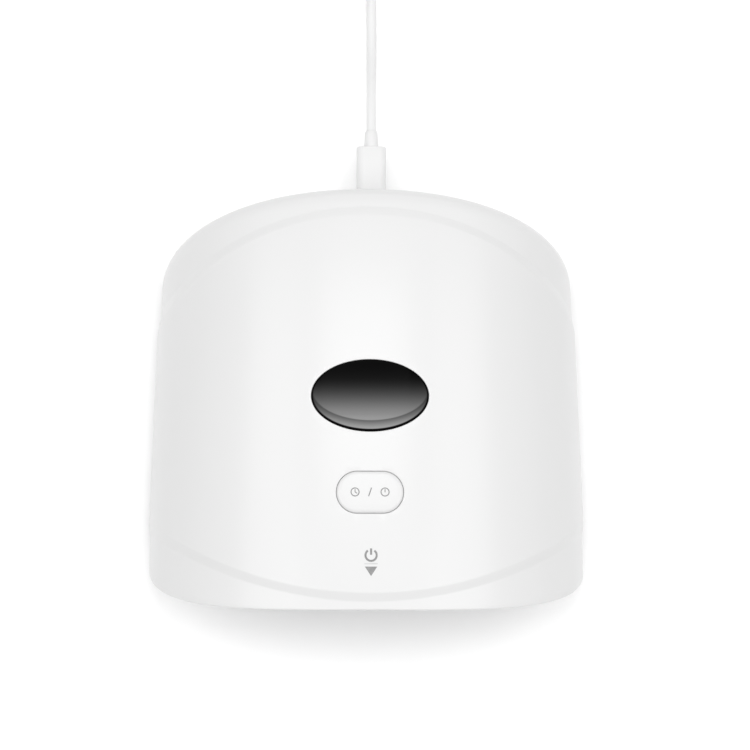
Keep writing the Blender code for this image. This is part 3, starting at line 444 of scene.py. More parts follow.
def cut(piece, mesh, place=(0, 0, 0)):
    """Takes a cutter's shape out of a piece."""
    cutter = add_object(mesh.name, mesh)
    cutter.location = place
    modifier = piece.modifiers.new(mesh.name, "BOOLEAN")
    modifier.operation = "DIFFERENCE"
    modifier.solver = "EXACT"
    modifier.object = cutter


def own(piece, slot, *nodes, body="lamp"):
    """Puts a finished piece on its body in place of CAD nodes."""
    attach(piece, body)
    if nodes:
        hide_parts(*nodes)
    return piece


# ---- hood geometry


def half_width(y):
    share = (y + HALF_LENGTH) / (2 * HALF_LENGTH)
    return HALF_WIDTH_FRONT + (HALF_WIDTH_BACK - HALF_WIDTH_FRONT) * share


def crown_height(y):
    return CROWN * (1 - CROWN_FALL * (y / HALF_LENGTH) ** 2)


def arch_unit(angle):
    """The hood's cross-section as a unit superellipse: across and up."""
    across = math.cos(angle)
    up = math.sin(angle)
    scale = (abs(across) ** ARCH_POWER + abs(up) ** ARCH_POWER) ** (-1 / ARCH_POWER)
    return across * scale, up * scale


def hood_height(x, y):
    """Height of the raised band's outer surface above the ground at (x, y)."""
    reach = min(abs(x) / (half_width(y) + BAND_RAISE), 1.0)
    up = (1 - reach**ARCH_POWER) ** (1 / ARCH_POWER)
    return SHELL_BASE + (crown_height(y) + BAND_RAISE - SHELL_BASE) * up


def lip_row(x, up):
    return -HALF_LENGTH + LIP_LEAN * max(1 - up, 0.0) ** LIP_CURVE


def front_crease_row(offset):
    centre = FRONT_CREASE_Y + FRONT_CREASE_RADIUS
    radius = FRONT_CREASE_RADIUS - offset
    return lambda x, up: centre - math.sqrt(radius**2 - x**2)


def back_crease_row(offset):
    centre = BACK_CREASE_Y - BACK_CREASE_RADIUS
    radius = BACK_CREASE_RADIUS - offset
    return lambda x, up: centre + math.sqrt(radius**2 - x**2)


def rear_plan(x):
    reach = min(abs(x) / half_width(HALF_LENGTH - BACK_BOW), 1.0)
    return HALF_LENGTH - BACK_BOW * (1 - math.sqrt(1 - reach**2))


def fillet_size(up):
    return min(BACK_FILLET, 0.45 * (CROWN - SHELL_BASE) * up)


def fillet_start_row(x, up):
    return rear_plan(x) - fillet_size(up)


def between(first, second, share):
    return lambda x, up: first(x, up) * (1 - share) + second(x, up) * share


def hood_point(row, angle, raise_by):
    """Finds the surface point where an arch line meets a row across the hood."""
    across, up = arch_unit(angle)
    x = across * HALF_WIDTH_FRONT
    for _ in range(12):
        y = row(x, up)
        x = across * (half_width(y) + raise_by)
    return Vector((x, y, SHELL_BASE + (crown_height(y) + raise_by - SHELL_BASE) * up))


def crease_rise(distance):
    """How far the surface has risen across a crease whose two bends are slightly rounded."""

    def area(t):
        if t <= 0:
            return 0.0
        return t * t / (2 * CREASE_WIDTH) if t < CREASE_WIDTH else t - CREASE_WIDTH / 2

    share = (area(distance + CREASE_BLEND) - area(distance - CREASE_BLEND)) / (2 * CREASE_BLEND)
    return BAND_RAISE * share


def hood_rows():
    """Rows across the hood's outer surface, from the front lip to the foot of its rear wall."""
    bends = [CREASE_BLEND * step / 3 for step in range(-3, 4)]
    offsets = bends + [CREASE_WIDTH / 2] + [CREASE_WIDTH + bend for bend in bends]
    low_front, high_front = front_crease_row(offsets[0]), front_crease_row(offsets[-1])
    low_back, high_back = back_crease_row(offsets[0]), back_crease_row(offsets[-1])
    lines = [(between(lip_row, low_front, i / 6), 0.0) for i in range(6)]
    lines += [(front_crease_row(offset), crease_rise(offset)) for offset in offsets]
    lines += [(between(high_front, high_back, i / 40), BAND_RAISE) for i in range(1, 40)]
    lines += [(back_crease_row(offset), crease_rise(offset)) for offset in reversed(offsets)]
    lines += [(between(low_back, fillet_start_row, i / 3), 0.0) for i in range(1, 4)]
    angles = [math.pi * i / ARCH_SEGMENTS for i in range(ARCH_SEGMENTS + 1)]
    rows = [[hood_point(line, angle, raise_by) for angle in angles] for line, raise_by in lines]
    edge = rows[-1]
    sizes = [fillet_size(arch_unit(angle)[1]) for angle in angles]
    for step in range(1, 9):
        turn = math.pi / 2 * step / 8
        shift = [Vector((0, size * math.sin(turn), -size * (1 - math.cos(turn)))) for size in sizes]
        rows.append([point + move for point, move in zip(edge, shift)])
    brow = rows[-1]
    for step in range(1, 11):
        rows.append([Vector((p.x, p.y, p.z + (SHELL_BASE - p.z) * step / 10)) for p in brow])
    return rows


def surface_loop(outline, centre_y, lift):
    """An outline laid on the hood's outer surface and moved up or down."""
    return [(x, y + centre_y, hood_height(x, y + centre_y) + lift) for x, y in outline]


def opening_cutter(name, outline, centre_y, rounding):
    """A cutter through the hood whose opening has a rounded edge; outline(grow) gives its outlines."""
    loops = [at_height([(x, y + centre_y) for x, y in outline(0.0)], CUTTER_BOTTOM)]
    for step in range(5):
        turn = math.pi / 2 * step / 4
        grow = rounding * (1 - math.cos(turn))
        loops.append(surface_loop(outline(grow), centre_y, rounding * (math.sin(turn) - 1)))
    loops.append(at_height([(x, y + centre_y) for x, y in outline(2 * rounding)], CUTTER_TOP))
    return loft(name, loops)


# Cutters in the rear wall: name, size, corner radius and (growth, y) rings, in millimetres
PORT_OPENINGS = (
    ("recess_cutter", (13.6, 9.6), 2.0, ((0.0, 75.0), (0.0, 75.2), (0.35, 75.6), (0.35, 80.0))),
    ("slot_cutter", (9.0, 4.0), 1.0, ((0.0, 70.0), (0.0, 74.75), (0.25, 75.0), (0.25, 78.0))),
)
HOOD_SHARP = 28.0  # degrees above which an edge shades sharp


def build_hood(look):
    rows = hood_rows()
    hood = add_object("hood_shell", grid_mesh("hood_shell", rows), look)
    thicken(hood, WALL, -1.0)

    def window_outline(grow):
        return ellipse(WINDOW_HALF[0] + grow, WINDOW_HALF[1] + grow)

    def key_outline(grow):
        return stadium(KEY_SIZE[0] + 2 * grow, KEY_SIZE[1] + 2 * grow)

    cut(hood, opening_cutter("window_cutter", window_outline, WINDOW_Y, 0.25 * MM))
    cut(hood, opening_cutter("key_cutter", key_outline, KEY_Y, 0.35 * MM))
    for name, size, corner, rings in PORT_OPENINGS:
        loops = []
        for grow, y in rings:
            sides = [side * MM + 2 * grow * MM for side in size]
            loops.append(along_y(rounded_rectangle(*sides, (corner + grow) * MM, 8), y * MM))
        cut(hood, loft(name, loops), (SOCKET_X, 0, SOCKET_Z))
    settle(hood, HOOD_SHARP)
    round_lip(hood, rows[0])
    own(hood, "white_gloss_plastic", "top_shell")


def round_lip(hood, lip):
    """Rounds the edge where the hood's outer surface meets its front rim."""
    bm = bmesh.new()
    bm.from_mesh(hood.data)
    on_lip = {tuple(round(value / MERGE / 2) for value in point) for point in lip}
    marked = {v for v in bm.verts if tuple(round(value / MERGE / 2) for value in v.co) in on_lip}
    edges = [e for e in bm.edges if marked.issuperset(e.verts) and e.calc_face_angle(0.0) > 0.9]
    bmesh.ops.bevel(
        bm, geom=edges, offset=LIP_ROUNDING, segments=3, profile=0.5, affect="EDGES", clamp_overlap=False
    )
    bm.to_mesh(hood.data)
    bm.free()
    hood.data.set_sharp_from_angle(angle=math.radians(HOOD_SHARP))


# ---- window and key


# Rings of the lens: share of the way across, and drop in millimetres
OVAL_RINGS = (
    (0.03, 0.0), (0.2, 0.0), (0.4, 0.0), (0.6, 0.0), (0.8, 0.02), (0.92, 0.05), (0.98, 0.1), (1.0, 0.15),
)
BAND_RINGS = ((0.1, 0.11), (0.5, 0.14), (1.0, 0.2))


def build_lens(look):
    """A thin domed lens: an inner oval, a soft groove, and a band that slopes to the rim in front."""
    half_x = WINDOW_HALF[0] - LENS_GAP
    half_y = WINDOW_HALF[1] - LENS_GAP
    outer = ellipse(half_x, half_y)
    inner = []
    for x, y in outer:
        a, b = INNER_LENS_HALF
        shift = WINDOW_Y - INNER_LENS_Y
        qa = (x / a) ** 2 + (y / b) ** 2
        qb = 2 * shift * y / b**2
        qc = (shift / b) ** 2 - 1
        reach = (-qb + math.sqrt(qb**2 - 4 * qa * qc)) / (2 * qa)
        inner.append(min(reach, OVAL_REACH))
    loops = []
    for starts, ends, rings in (
        ([0.0] * len(outer), inner, OVAL_RINGS), (inner, [BAND_REACH] * len(outer), BAND_RINGS),
    ):
        for share, drop in rings:
            loop = []
            for (x, y), reach, start, end in zip(outer, inner, starts, ends):
                depth = min((OVAL_REACH - reach) / GROOVE_FADE, 1.0) * drop * MM
                part = start + (end - start) * share
                px, py = x * part, y * part + WINDOW_Y
                loop.append((px, py, hood_height(px, py) + LENS_RAISE - depth))
            loops.append(loop)
    for inset, lift in ((0.25, -0.12), (0.08, -0.25), (0.0, -0.5)):
        outline = ellipse(half_x - inset * MM, half_y - inset * MM)
        loops.append(surface_loop(outline, WINDOW_Y, lift * MM))
    for grow, z in ((0.0, 60.0), (1.6, 60.0), (1.6, 59.1)):
        outline = ellipse(half_x + grow * MM, half_y + grow * MM)
        loops.append([(x, y + WINDOW_Y, z * MM) for x, y in outline])
    lens = add_object("window_lens", loft("window_lens", loops), look)
    own(settle(lens, 40.0), "smoked_lens", "display_lens")


def build_key(look):
    width = KEY_SIZE[0] - 2 * KEY_GAP
    depth = KEY_SIZE[1] - 2 * KEY_GAP
    loops = []
    crown = ((6.9, 0.0), (6.0, 0.0), (4.5, 0.0), (3.0, 0.0), (1.6, 0.01), (1.0, 0.05))
    for shrink, drop in crown + ((0.62, 0.14), (0.34, 0.28), (0.14, 0.46), (0.03, 0.66), (0.0, 0.9)):
        outline = stadium(width - 2 * shrink * MM, depth - 2 * shrink * MM)
        loops.append(surface_loop(outline, KEY_Y, KEY_RAISE - drop * MM))
    skirt = (width + 3 * MM, depth + 3 * MM)
    for size, z in (((width, depth), 60.0), (skirt, 60.0), (skirt, 59.0)):
        loops.append([(x, y + KEY_Y, z * MM) for x, y in stadium(*size)])
    low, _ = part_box("timer_key")
    for z in (59.0 * MM, low.z):
        loops.append([(x, y + KEY_Y, z) for x, y in stadium(5 * MM, 5 * MM)])
    key = add_object("timer_button", loft("timer_button", loops), look)
    own(settle(key, 50.0), "white_gloss_plastic", "timer_key", body="timer_key")


# ---- USB lead


def cord_points():
    """The lead's centreline, from inside its strain relief through the coil to the far plug."""
    points = smooth_route([Vector(point) * MM for point in CORD_ROUTE], 3.0 * MM)
    turns = LOWER_TURNS + UPPER_TURNS
    lower = len(LOWER_TURNS)
    steps = 48
    change = 60 / 360
    for turn, (radius, following) in enumerate(zip(turns, turns[1:] + (LEAVING_RADIUS,))):
        z, next_z = LAYER_Z[int(turn >= lower)], LAYER_Z[int(turn + 1 >= lower)]
        for step in range(steps):
            share = step / steps
            late = max((share - (1 - change)) / change, 0.0)
            ease = late * late * (3 - 2 * late)
            lift = 0.5 * math.sin(math.pi * late) ** 2 if turn >= lower else 0.0
            height = z + (next_z - z) * ease + lift
            points.append(coil_point(360 * share, radius + (following - radius) * ease, height))
    tail = [coil_point(*place) for place in CORD_DESCENT] + [Vector(point) * MM for point in CORD_END]
    return points + smooth_route(tail, 2.5 * MM)


def coil_point(degrees, radius, height):
    """A point beside the coil's axis, from an angle in degrees and two lengths in millimetres."""
    angle = math.radians(degrees)
    return COIL_CENTRE + Vector((radius * math.cos(angle), radius * math.sin(angle), height)) * MM


def smooth_route(points, spacing):
    """Reads evenly spaced points from a smooth curve through the given ones."""
    ends = [2 * points[0] - points[1], *points, 2 * points[-1] - points[-2]]
    fine = []
    for before, start, end, after in zip(ends, ends[1:], ends[2:], ends[3:]):
        for step in range(20):
            t = step / 20
            bend = (2 * before - 5 * start + 4 * end - after) * t**2
            twist = (3 * start - before - 3 * end + after) * t**3
            fine.append((2 * start + (end - before) * t + bend + twist) / 2)
    fine.append(points[-1])
    total = sum((b - a).length for a, b in zip(fine, fine[1:]))
    count = max(2, round(total / spacing))
    even = [fine[0]]
    travelled = 0.0
    for a, b in zip(fine, fine[1:]):
        travelled += (b - a).length
        if travelled >= total * len(even) / count and len(even) < count:
            even.append(b)
    even.append(fine[-1])
    return even


def build_cord(look):
    curve = bpy.data.curves.new("usb_cord", "CURVE")
    curve.dimensions = "3D"
    curve.bevel_depth = CORD_RADIUS
    curve.bevel_resolution = 6
    curve.use_fill_caps = True
    points = cord_points()
    spline = curve.splines.new("POLY")
    spline.points.add(len(points) - 1)
    for slot, point in zip(spline.points, points):
        slot.co = (*point, 1.0)
    spline.use_smooth = True
    curve.materials.append(look)
    cord = bpy.data.objects.new("usb_cord", curve)
    bpy.context.scene.collection.objects.link(cord)
    own(cord, "white_cord_vinyl", "cord_run", "cord_coil", body="usb_lead")


def plug_part(name, rings, node, look):
    """A solid along the plug's axis; rings lists outlines and their places in millimetres of Y."""
    loops = []
    for outline, y in rings:
        loops.append([(x + SOCKET_X, y * MM, z + SOCKET_Z) for x, z in outline])
    part = add_object(name, loft(name, loops), look)
    return own(settle(part, 50.0), "white_satin_plastic", node, body="usb_lead")


def build_plug(look):
    """The overmoulded grip of the lamp's plug, and the short strain relief behind it."""
    rings = []
    for shrink, y in (
        (0.7, 75.3), (0.32, 75.42), (0.1, 75.65), (0.0, 76.0), (0.0, 88.0),
        (0.0, 102.0), (0.06, 102.2), (0.2, 102.36), (0.45, 102.46), (0.8, 102.5),
    ):
        sides = [side - 2 * shrink * MM for side in PLUG_GRIP]
        rings.append((rounded_rectangle(*sides, (2.6 - shrink) * MM, 8), y))
    grip = plug_part("plug_grip", rings, "plug_overmold", look)
    rings = []
    for radius, y in (
        (2.4, 102.3), (2.7, 102.8), (2.66, 104.0), (2.5, 107.2), (2.42, 108.3),
        (2.3, 108.8), (2.12, 109.12), (1.95, 109.27), (1.82, 109.3),
    ):
        rings.append((ellipse(radius * MM, radius * MM, 48), y))
    return grip, plug_part("cord_relief", rings, "strain_relief", look)


# ---- far plug and cable tie


def build_far_plug(looks):
    """A USB-A plug lying beside the coil and pointing to -X."""
    turn = Matrix.Rotation(math.pi / 2, 4, "Z")
    place = Matrix.Translation([value * MM for value in FAR_PLUG_PLACE]) @ turn
    loops = []
    for width, height, corner, y in (
        (5.4, 5.0, 2.2, 0.0), (6.0, 5.6, 2.4, 0.3), (6.0, 5.6, 2.4, 3.4), (6.3, 5.8, 2.4, 4.0),
        (8.4, 6.3, 2.4, 4.9), (12.5, 7.3, 2.3, 6.0), (15.4, 7.9, 2.2, 6.9), (16.0, 8.0, 2.2, 7.6),
        (16.0, 8.0, 2.2, 24.3), (15.8, 7.8, 2.1, 24.7), (15.4, 7.4, 1.9, 24.93), (14.8, 6.8, 1.6, 25.0),
    ):
        loops.append(along_y(rounded_rectangle(width * MM, height * MM, corner * MM, 8), y * MM))
    grip = add_object("far_plug_grip", loft("far_plug_grip", loops), looks["white_satin_plastic"])
    for side in (-1, 1):
        for row in range(5):
            rib = rounded_rectangle(0.5 * MM, 5.4 * MM, 0.2 * MM, 4)
            x, y = side * 8.0 * MM, (10.0 + 2.2 * row) * MM
            bottom = [(x + px, y, pz) for px, pz in rib]
            cut(grip, loft("rib_cutter", [bottom, [(px, py + 0.7 * MM, pz) for px, py, pz in bottom]]))
    settle(grip, 40.0)
    grip.matrix_world = place
    loops = []
    for inset, y in ((0.0, 25.3), (0.0, 37.1), (0.1, 37.3), (0.4, 37.3), (0.4, 25.8)):
        width, height = (12.0 - 2 * inset) * MM, (4.5 - 2 * inset) * MM
        loops.append(along_y(rounded_rectangle(width, height, (0.5 - inset / 2) * MM, 4), y * MM))
    shell = add_object("far_plug_shell", loft("far_plug_shell", loops), looks["nickel_steel"])
    for x in (-2.4, 2.4):
        for z in (-2.6, 1.6):
            hole = rounded_rectangle(2.2 * MM, 1.9 * MM, 0.15 * MM, 3)
            ends = []
            for rise in (0.0, 1.0):
                ends.append([(x * MM + px, 31.5 * MM + py, (z + rise) * MM) for px, py in hole])
            cut(shell, loft("latch_cutter", ends))
    settle(shell, 40.0)
    outline = rounded_rectangle(10.9 * MM, 1.6 * MM, 0.2 * MM, 3)
    mesh = loft("far_plug_tongue", [along_y(outline, y * MM) for y in (25.7, 36.6)])
    tongue = add_object("far_plug_tongue", mesh, looks["white_satin_plastic"])
    for vertex in tongue.data.vertices:
        vertex.co.z += 0.75 * MM
    settle(tongue, 40.0)
    pieces = [grip, shell, tongue]
    for piece in pieces[1:]:
        piece.matrix_world = place
    own(grip, "white_satin_plastic", "usb_a_overmold", body="usb_lead")
    own(shell, "nickel_steel", "usb_a_shell", body="usb_lead")
    own(tongue, "white_satin_plastic", body="usb_lead")
    return pieces


def build_tie(look):
    """A hook-and-loop strap round the coil."""
    angle = math.radians(TIE_ANGLE)
    spoke = Vector((math.cos(angle), math.sin(angle), 0))
    loops = []
    rings = (
        (0.02, -2.4), (0.0, -2.5), (0.5, -2.5), (0.56, -2.3),
        (0.56, 2.3), (0.5, 2.5), (0.0, 2.5), (0.02, 2.4),
    )
    for grow, y in rings:
        outline = rounded_rectangle((15.4 + 2 * grow) * MM, (6.9 + 2 * grow) * MM, (1.8 + grow) * MM, 6)
        loops.append(along_y(outline, y * MM))
    tie = add_object("cable_tie", loft("cable_tie", loops, closed=True), look)
    tie.location = COIL_CENTRE + spoke * TIE_RADIUS + Vector((0, 0, TIE_HEIGHT))
    tie.rotation_euler = (0, 0, angle)
    own(settle(tie, 50.0), "tie_strap", "cord_tie", body="usb_lead")
    return tie


# ---- printed marks


def ribbon(centre, points, width):
    """The two sides of a line of a given width drawn through points about a centre, as quads."""
    quads = []
    for start, end in zip(points, points[1:]):
        a, b = Vector(start), Vector(end)
        side = (b - a).normalized().orthogonal() * width / 2
        quads.append([Vector(centre) + corner for corner in (a - side, b - side, b + side, a + side)])
    return quads


def arc(radius, start, end, steps):
    turns = [math.radians(start + (end - start) * i / steps) for i in range(steps + 1)]
    return [(radius * math.cos(turn), radius * math.sin(turn)) for turn in turns]


SIGN_PLACE = (0.4, -56.65)  # middle of the power sign on the hood, in millimetres


def print_mark(name, quads, lift, look, body):
    """Lays outlines, in millimetres, on the hood as ink a few hundredths thick."""
    bm = bmesh.new()
    for quad in quads:
        loops = []
        for rise in (-0.04, 0.025):
            loops.append([(x * MM, y * MM, hood_height(x * MM, y * MM) + lift + rise * MM) for x, y in quad])
        add_loft(bm, loops)
    mark = add_object(name, mesh_of(bm, name), look)
    own(settle(mark, 30.0), "black_plastic", body=body)


def build_marks(ink, faint_ink):
    """A clock face either side of a slash on the key, and a power sign, a bar and an arrow on the hood."""
    key_y = KEY_Y / MM
    quads = []
    for x, hand in ((-5.2, -30.0), (5.2, 90.0)):
        centre = (x, key_y)
        quads += ribbon(centre, arc(1.4, 0, 360, 28), 0.36)
        quads += ribbon(centre, [(0, -0.1), (0, 1.0)], 0.32)
        reach = math.radians(hand)
        quads += ribbon(centre, [(0, 0), (0.85 * math.cos(reach), 0.85 * math.sin(reach) - 0.05)], 0.32)
    quads += ribbon((0, key_y), [(-0.5, -1.5), (0.5, 1.5)], 0.36)
    print_mark("key_mark", quads, KEY_RAISE, ink, "timer_key")
    x, y = SIGN_PLACE
    quads = ribbon((x, y), arc(1.95, 125, 415, 36), 0.72)
    quads += ribbon((x, y), [(0, 0.15), (0, 2.35)], 0.72)
    quads.append([Vector((x - 2.15, y - 3.9)), Vector((x, y - 7.2)), Vector((x + 2.15, y - 3.9))])
    print_mark("power_mark", quads, 0.0, ink, "lamp")
    print_mark("thin_bar", ribbon((x, y - 2.9), [(-2.3, 0), (2.3, 0)], 0.45), 0.0, faint_ink, "lamp")


# ---- tunnel, bezel and base


def lip_place(z):
    """How far forward the front lip lies at a height."""
    share = (z - SHELL_BASE) / (crown_height(HALF_LENGTH) - SHELL_BASE)
    return lip_row(0.0, share)


def tunnel_profile(steps=14):
    """The hand tunnel's cross-section, from its right foot over the roof to its left foot."""
    places = ((TUNNEL_HALF_WIDTH, TUNNEL_SIDE_TOP), (TUNNEL_ROOF_HALF, TUNNEL_ROOF))
    foot = (TUNNEL_HALF_WIDTH, FRAME_TOP + GAP)
    corners = [Vector(place) for place in (foot, *places)]
    corners += [Vector((-x, z)) for x, z in (*places[::-1], foot)]
    points = [corners[0]]
    for before, corner, after in zip(corners, corners[1:], corners[2:]):
        start = corner + (before - corner).normalized() * TUNNEL_BEND
        end = corner + (after - corner).normalized() * TUNNEL_BEND
        for step in range(steps + 1):
            share = step / steps
            points.append((1 - share) ** 2 * start + 2 * share * (1 - share) * corner + share**2 * end)
    points.append(corners[-1])
    return points


def facet_frame():
    """Middle and outward normal of the right-hand slanted facet, in the XZ plane."""
    low = Vector((TUNNEL_HALF_WIDTH, TUNNEL_SIDE_TOP))
    high = Vector((TUNNEL_ROOF_HALF, TUNNEL_ROOF))
    along = (high - low).normalized()
    return (low + high) / 2, Vector((along.y, -along.x))


def lamp_places():
    """Name, and place with Z through the reflector's wall, of each lamp."""
    middle, normal = facet_frame()
    tilt = math.atan2(normal.x, normal.y)
    places = []
    for side, (x, z), lean, columns in (
        ("roof", (0, TUNNEL_ROOF), 0.0, (-ROOF_LED_X, ROOF_LED_X)),
        ("left", (-middle.x, middle.y), -tilt, (0.0,)),
        ("right", (middle.x, middle.y), tilt, (0.0,)),
    ):
        face = Matrix.Translation((x, 0, z)) @ Matrix.Rotation(lean, 4, "Y")
        for number, (column, y) in enumerate(((c, y) for c in columns for y in LED_ROWS_Y), 1):
            places.append((f"{side}_uv_led_{number}", face @ Matrix.Translation((column, y, 0))))
    return places


def build_liner(look):
    """The bright reflector, with a rounded hole for each lamp and for the hand sensor's two eyes."""
    profile = tunnel_profile()
    start = BEZEL_RECESS + BEZEL_THICKNESS + GAP
    rows = []
    for share in (0.0, 0.25, 0.5, 0.75, 0.97, 1.0):
        front = [lip_place(point.y) + start for point in profile]
        rows.append([(p.x, y + (TUNNEL_BACK - y) * share, p.y) for p, y in zip(profile, front)])
    liner = add_object("reflector", grid_mesh("reflector", rows, end_face=True), look)
    thicken(liner, LINER_WALL, 1.0)
    holes = bmesh.new()
    eyes = [Matrix.Translation((x, SENSOR_Y, TUNNEL_ROOF)) for x in (-SENSOR_X, SENSOR_X)]
    radii = [(3.7 * MM, place) for _, place in lamp_places()]
    radii += [(1.8 * MM, place) for place in eyes]
    for radius, place in radii:
        loops = []
        for grow, z in ((0.6, -2.0), (0.5, -0.2), (0.0, 0.35), (0.0, 4.0)):
            outline = ellipse(radius + grow * MM, radius + grow * MM, 40)
            loops.append([place @ Vector((x, y, z * MM)) for x, y in outline])
        add_loft(holes, loops)
    cut(liner, mesh_of(holes, "lamp_hole_cutter"))
    own(settle(liner, 30.0), "silver_reflector", "reflector_liner")


def build_bezel(look):
    """The plate across the front of the hood, between its wall and the hand tunnel."""
    inner = tunnel_profile()
    inset = WALL + 0.4 * MM
    sections = []
    for i, point in enumerate(inner):
        foot = Vector((point.x, FRAME_BOTTOM)) if i in (0, len(inner) - 1) else point
        across, up = arch_unit(math.pi * i / (len(inner) - 1))
        z = SHELL_BASE
        for _ in range(12):
            y = lip_place(z)
            z = SHELL_BASE + (crown_height(y) - inset - SHELL_BASE) * up
        outer = Vector((across * (half_width(y) - inset), max(z, FRAME_BOTTOM)))
        toward = (outer - foot).normalized()
        edge = 0.35 * MM
        section = (
            (outer, edge), (outer - toward * edge, 0.0), (foot + toward * edge * 2, 0.0),
            (foot + toward * edge * 0.5, edge * 0.4), (foot, edge * 1.5),
            (foot, BEZEL_THICKNESS), (outer, BEZEL_THICKNESS),
        )
        corners = []
        for flat, depth in section:
            corners.append((flat.x, lip_place(flat.y) + BEZEL_RECESS + depth, flat.y))
        sections.append(corners)
    bezel = add_object("opening_bezel", loft("opening_bezel", sections), look)
    own(settle(bezel, 35.0), "white_gloss_plastic", "front_bezel")


def inside_hood_plan(x, y, inset):
    if y <= HALF_LENGTH - BACK_BOW:
        return abs(x) <= half_width(y) - inset
    across = x / (half_width(HALF_LENGTH - BACK_BOW) - inset)
    back = (y - (HALF_LENGTH - BACK_BOW)) / (BACK_BOW - inset)
    return across**2 + back**2 <= 1


def inside_tunnel_plan(x, y, inset):
    over_x = max(abs(x) - (TUNNEL_HALF_WIDTH - FRAME_CORNER), 0)
    over_y = max(y - (TUNNEL_BACK - FRAME_CORNER), 0)
    return math.hypot(over_x, over_y) <= FRAME_CORNER + inset


def edge_along_ray(origin, direction, inside, inset):
    """The last point along a ray that is inside a plan outline."""
    near, far = 0.0, 2 * HALF_LENGTH
    for _ in range(40):
        middle = (near + far) / 2
        point = origin + direction * middle
        if inside(point.x, point.y, inset):
            near = middle
        else:
            far = middle
    return origin + direction * near


def build_base_frame(look):
    """The flat U under the hood's rim, with softened edges and sunk screw places."""
    hub_y = 20 * MM
    leg_start = lip_place(FRAME_BOTTOM) + BEZEL_RECESS + BEZEL_THICKNESS + GAP
    rays = []
    for i in range(8):
        rays.append((Vector((0, leg_start + (hub_y - leg_start) * i / 8)), Vector((1, 0))))
    for i in range(97):
        angle = math.pi * i / 96
        rays.append((Vector((0, hub_y)), Vector((math.cos(angle), math.sin(angle)))))
    for i in range(8):
        rays.append((Vector((0, hub_y + (leg_start - hub_y) * (i + 1) / 8)), Vector((-1, 0))))
    sections = []
    edge = 0.3 * MM
    for origin, direction in rays:
        outer = edge_along_ray(origin, direction, inside_hood_plan, WALL + 1.5 * GAP)
        inner = edge_along_ray(origin, direction, inside_tunnel_plan, 0.0)
        step = (outer - inner).normalized() * edge
        rings = (
            (outer, FRAME_BOTTOM + edge), (outer, FRAME_TOP), (inner, FRAME_TOP),
            (inner, FRAME_BOTTOM + edge), (inner + step, FRAME_BOTTOM), (outer - step, FRAME_BOTTOM),
        )
        sections.append([(flat.x, flat.y, z) for flat, z in rings])
    base = add_object("base_plate", loft("base_plate", sections), look)
    holes = bmesh.new()
    for _, (x, y, _) in corner_places("base_screw"):
        loops = []
        for radius, z in ((1.7, 1.0), (1.55, 2.35), (1.4, 2.5), (1.4, 8.0)):
            loops.append([(x + px, y + py, z * MM) for px, py in ellipse(radius * MM, radius * MM, 32)])
        add_loft(holes, loops)
    cut(base, mesh_of(holes, "screw_hole_cutter"))
    own(settle(base, 30.0), "white_satin_plastic", "base_frame")


def corner_places(kind):
    """Name and ground place of the four CAD nodes of a kind, one near each corner."""
    places = []
    for end in ("front", "back"):
        for side in ("left", "right"):
            name = f"{kind}_{end}_{side}"
            low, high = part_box(name)
            places.append((name, ((low.x + high.x) / 2, (low.y + high.y) / 2, 0)))
    return places


# Profiles of turned pieces as (radius, z) in millimetres
SCREW_PROFILE = (
    (0.2, 0.62), (1.0, 0.64), (1.6, 0.75), (2.1, 0.98), (2.4, 1.3), (2.5, 1.6),
    (2.5, 1.85), (2.42, 1.9), (1.1, 1.9), (1.1, 11.4), (0.3, 12.4),
)
FOOT_PROFILE = (
    (0.3, 0.25), (2.3, 0.25), (2.5, 0.06), (2.7, 0.0), (3.9, 0.0),
    (4.2, 0.08), (4.4, 0.28), (4.5, 0.5), (4.5, 1.8), (4.4, 1.9),
)


def build_screws(look):
    """Pan-head screws with a cross recess."""
    for name, place in corner_places("base_screw"):
        profile = [(r * MM, z * MM) for r, z in SCREW_PROFILE]
        screw = add_object(name + "_piece", turned(name, profile, 40), look)
        for turn in (0.0, math.pi / 2):
            loops = []
            for half, thick, z in ((1.35, 0.32, 0.4), (0.9, 0.22, 1.6)):
                flat = [(-half, -thick), (half, -thick), (half, thick), (-half, thick)]
                spin = Matrix.Rotation(turn + 0.5, 2)
                loops.append([(*(spin @ Vector(corner) * MM), z * MM) for corner in flat])
            cut(screw, loft("cross_cutter", loops))
        settle(screw, 35.0)
        screw.location = place
        own(screw, "nickel_steel", name)


def build_feet(look):
    """Round rubber feet with a shallow ring moulded in the sole."""
    for name, place in corner_places("rubber_foot"):
        profile = [(r * MM, z * MM) for r, z in FOOT_PROFILE]
        foot = add_object(name + "_piece", turned(name, profile, 56), look)
        foot.location = place
        own(settle(foot, 35.0), "foot_rubber", name)


# ---- lamps


# Profiles as (radius, z) in millimetres
LAMP_BASE = (
    (3.2, 0.0), (3.2, -1.3), (3.1, -1.4), (2.75, -1.4), (2.7, -1.3), (2.0, -0.5), (0.3, -0.5),
)
LAMP_DOME = (
    (2.68, -1.0), (2.7, -1.5), (2.66, -1.9), (2.5, -2.35),
    (2.15, -2.8), (1.6, -3.1), (0.9, -3.26), (0.3, -3.3),
)


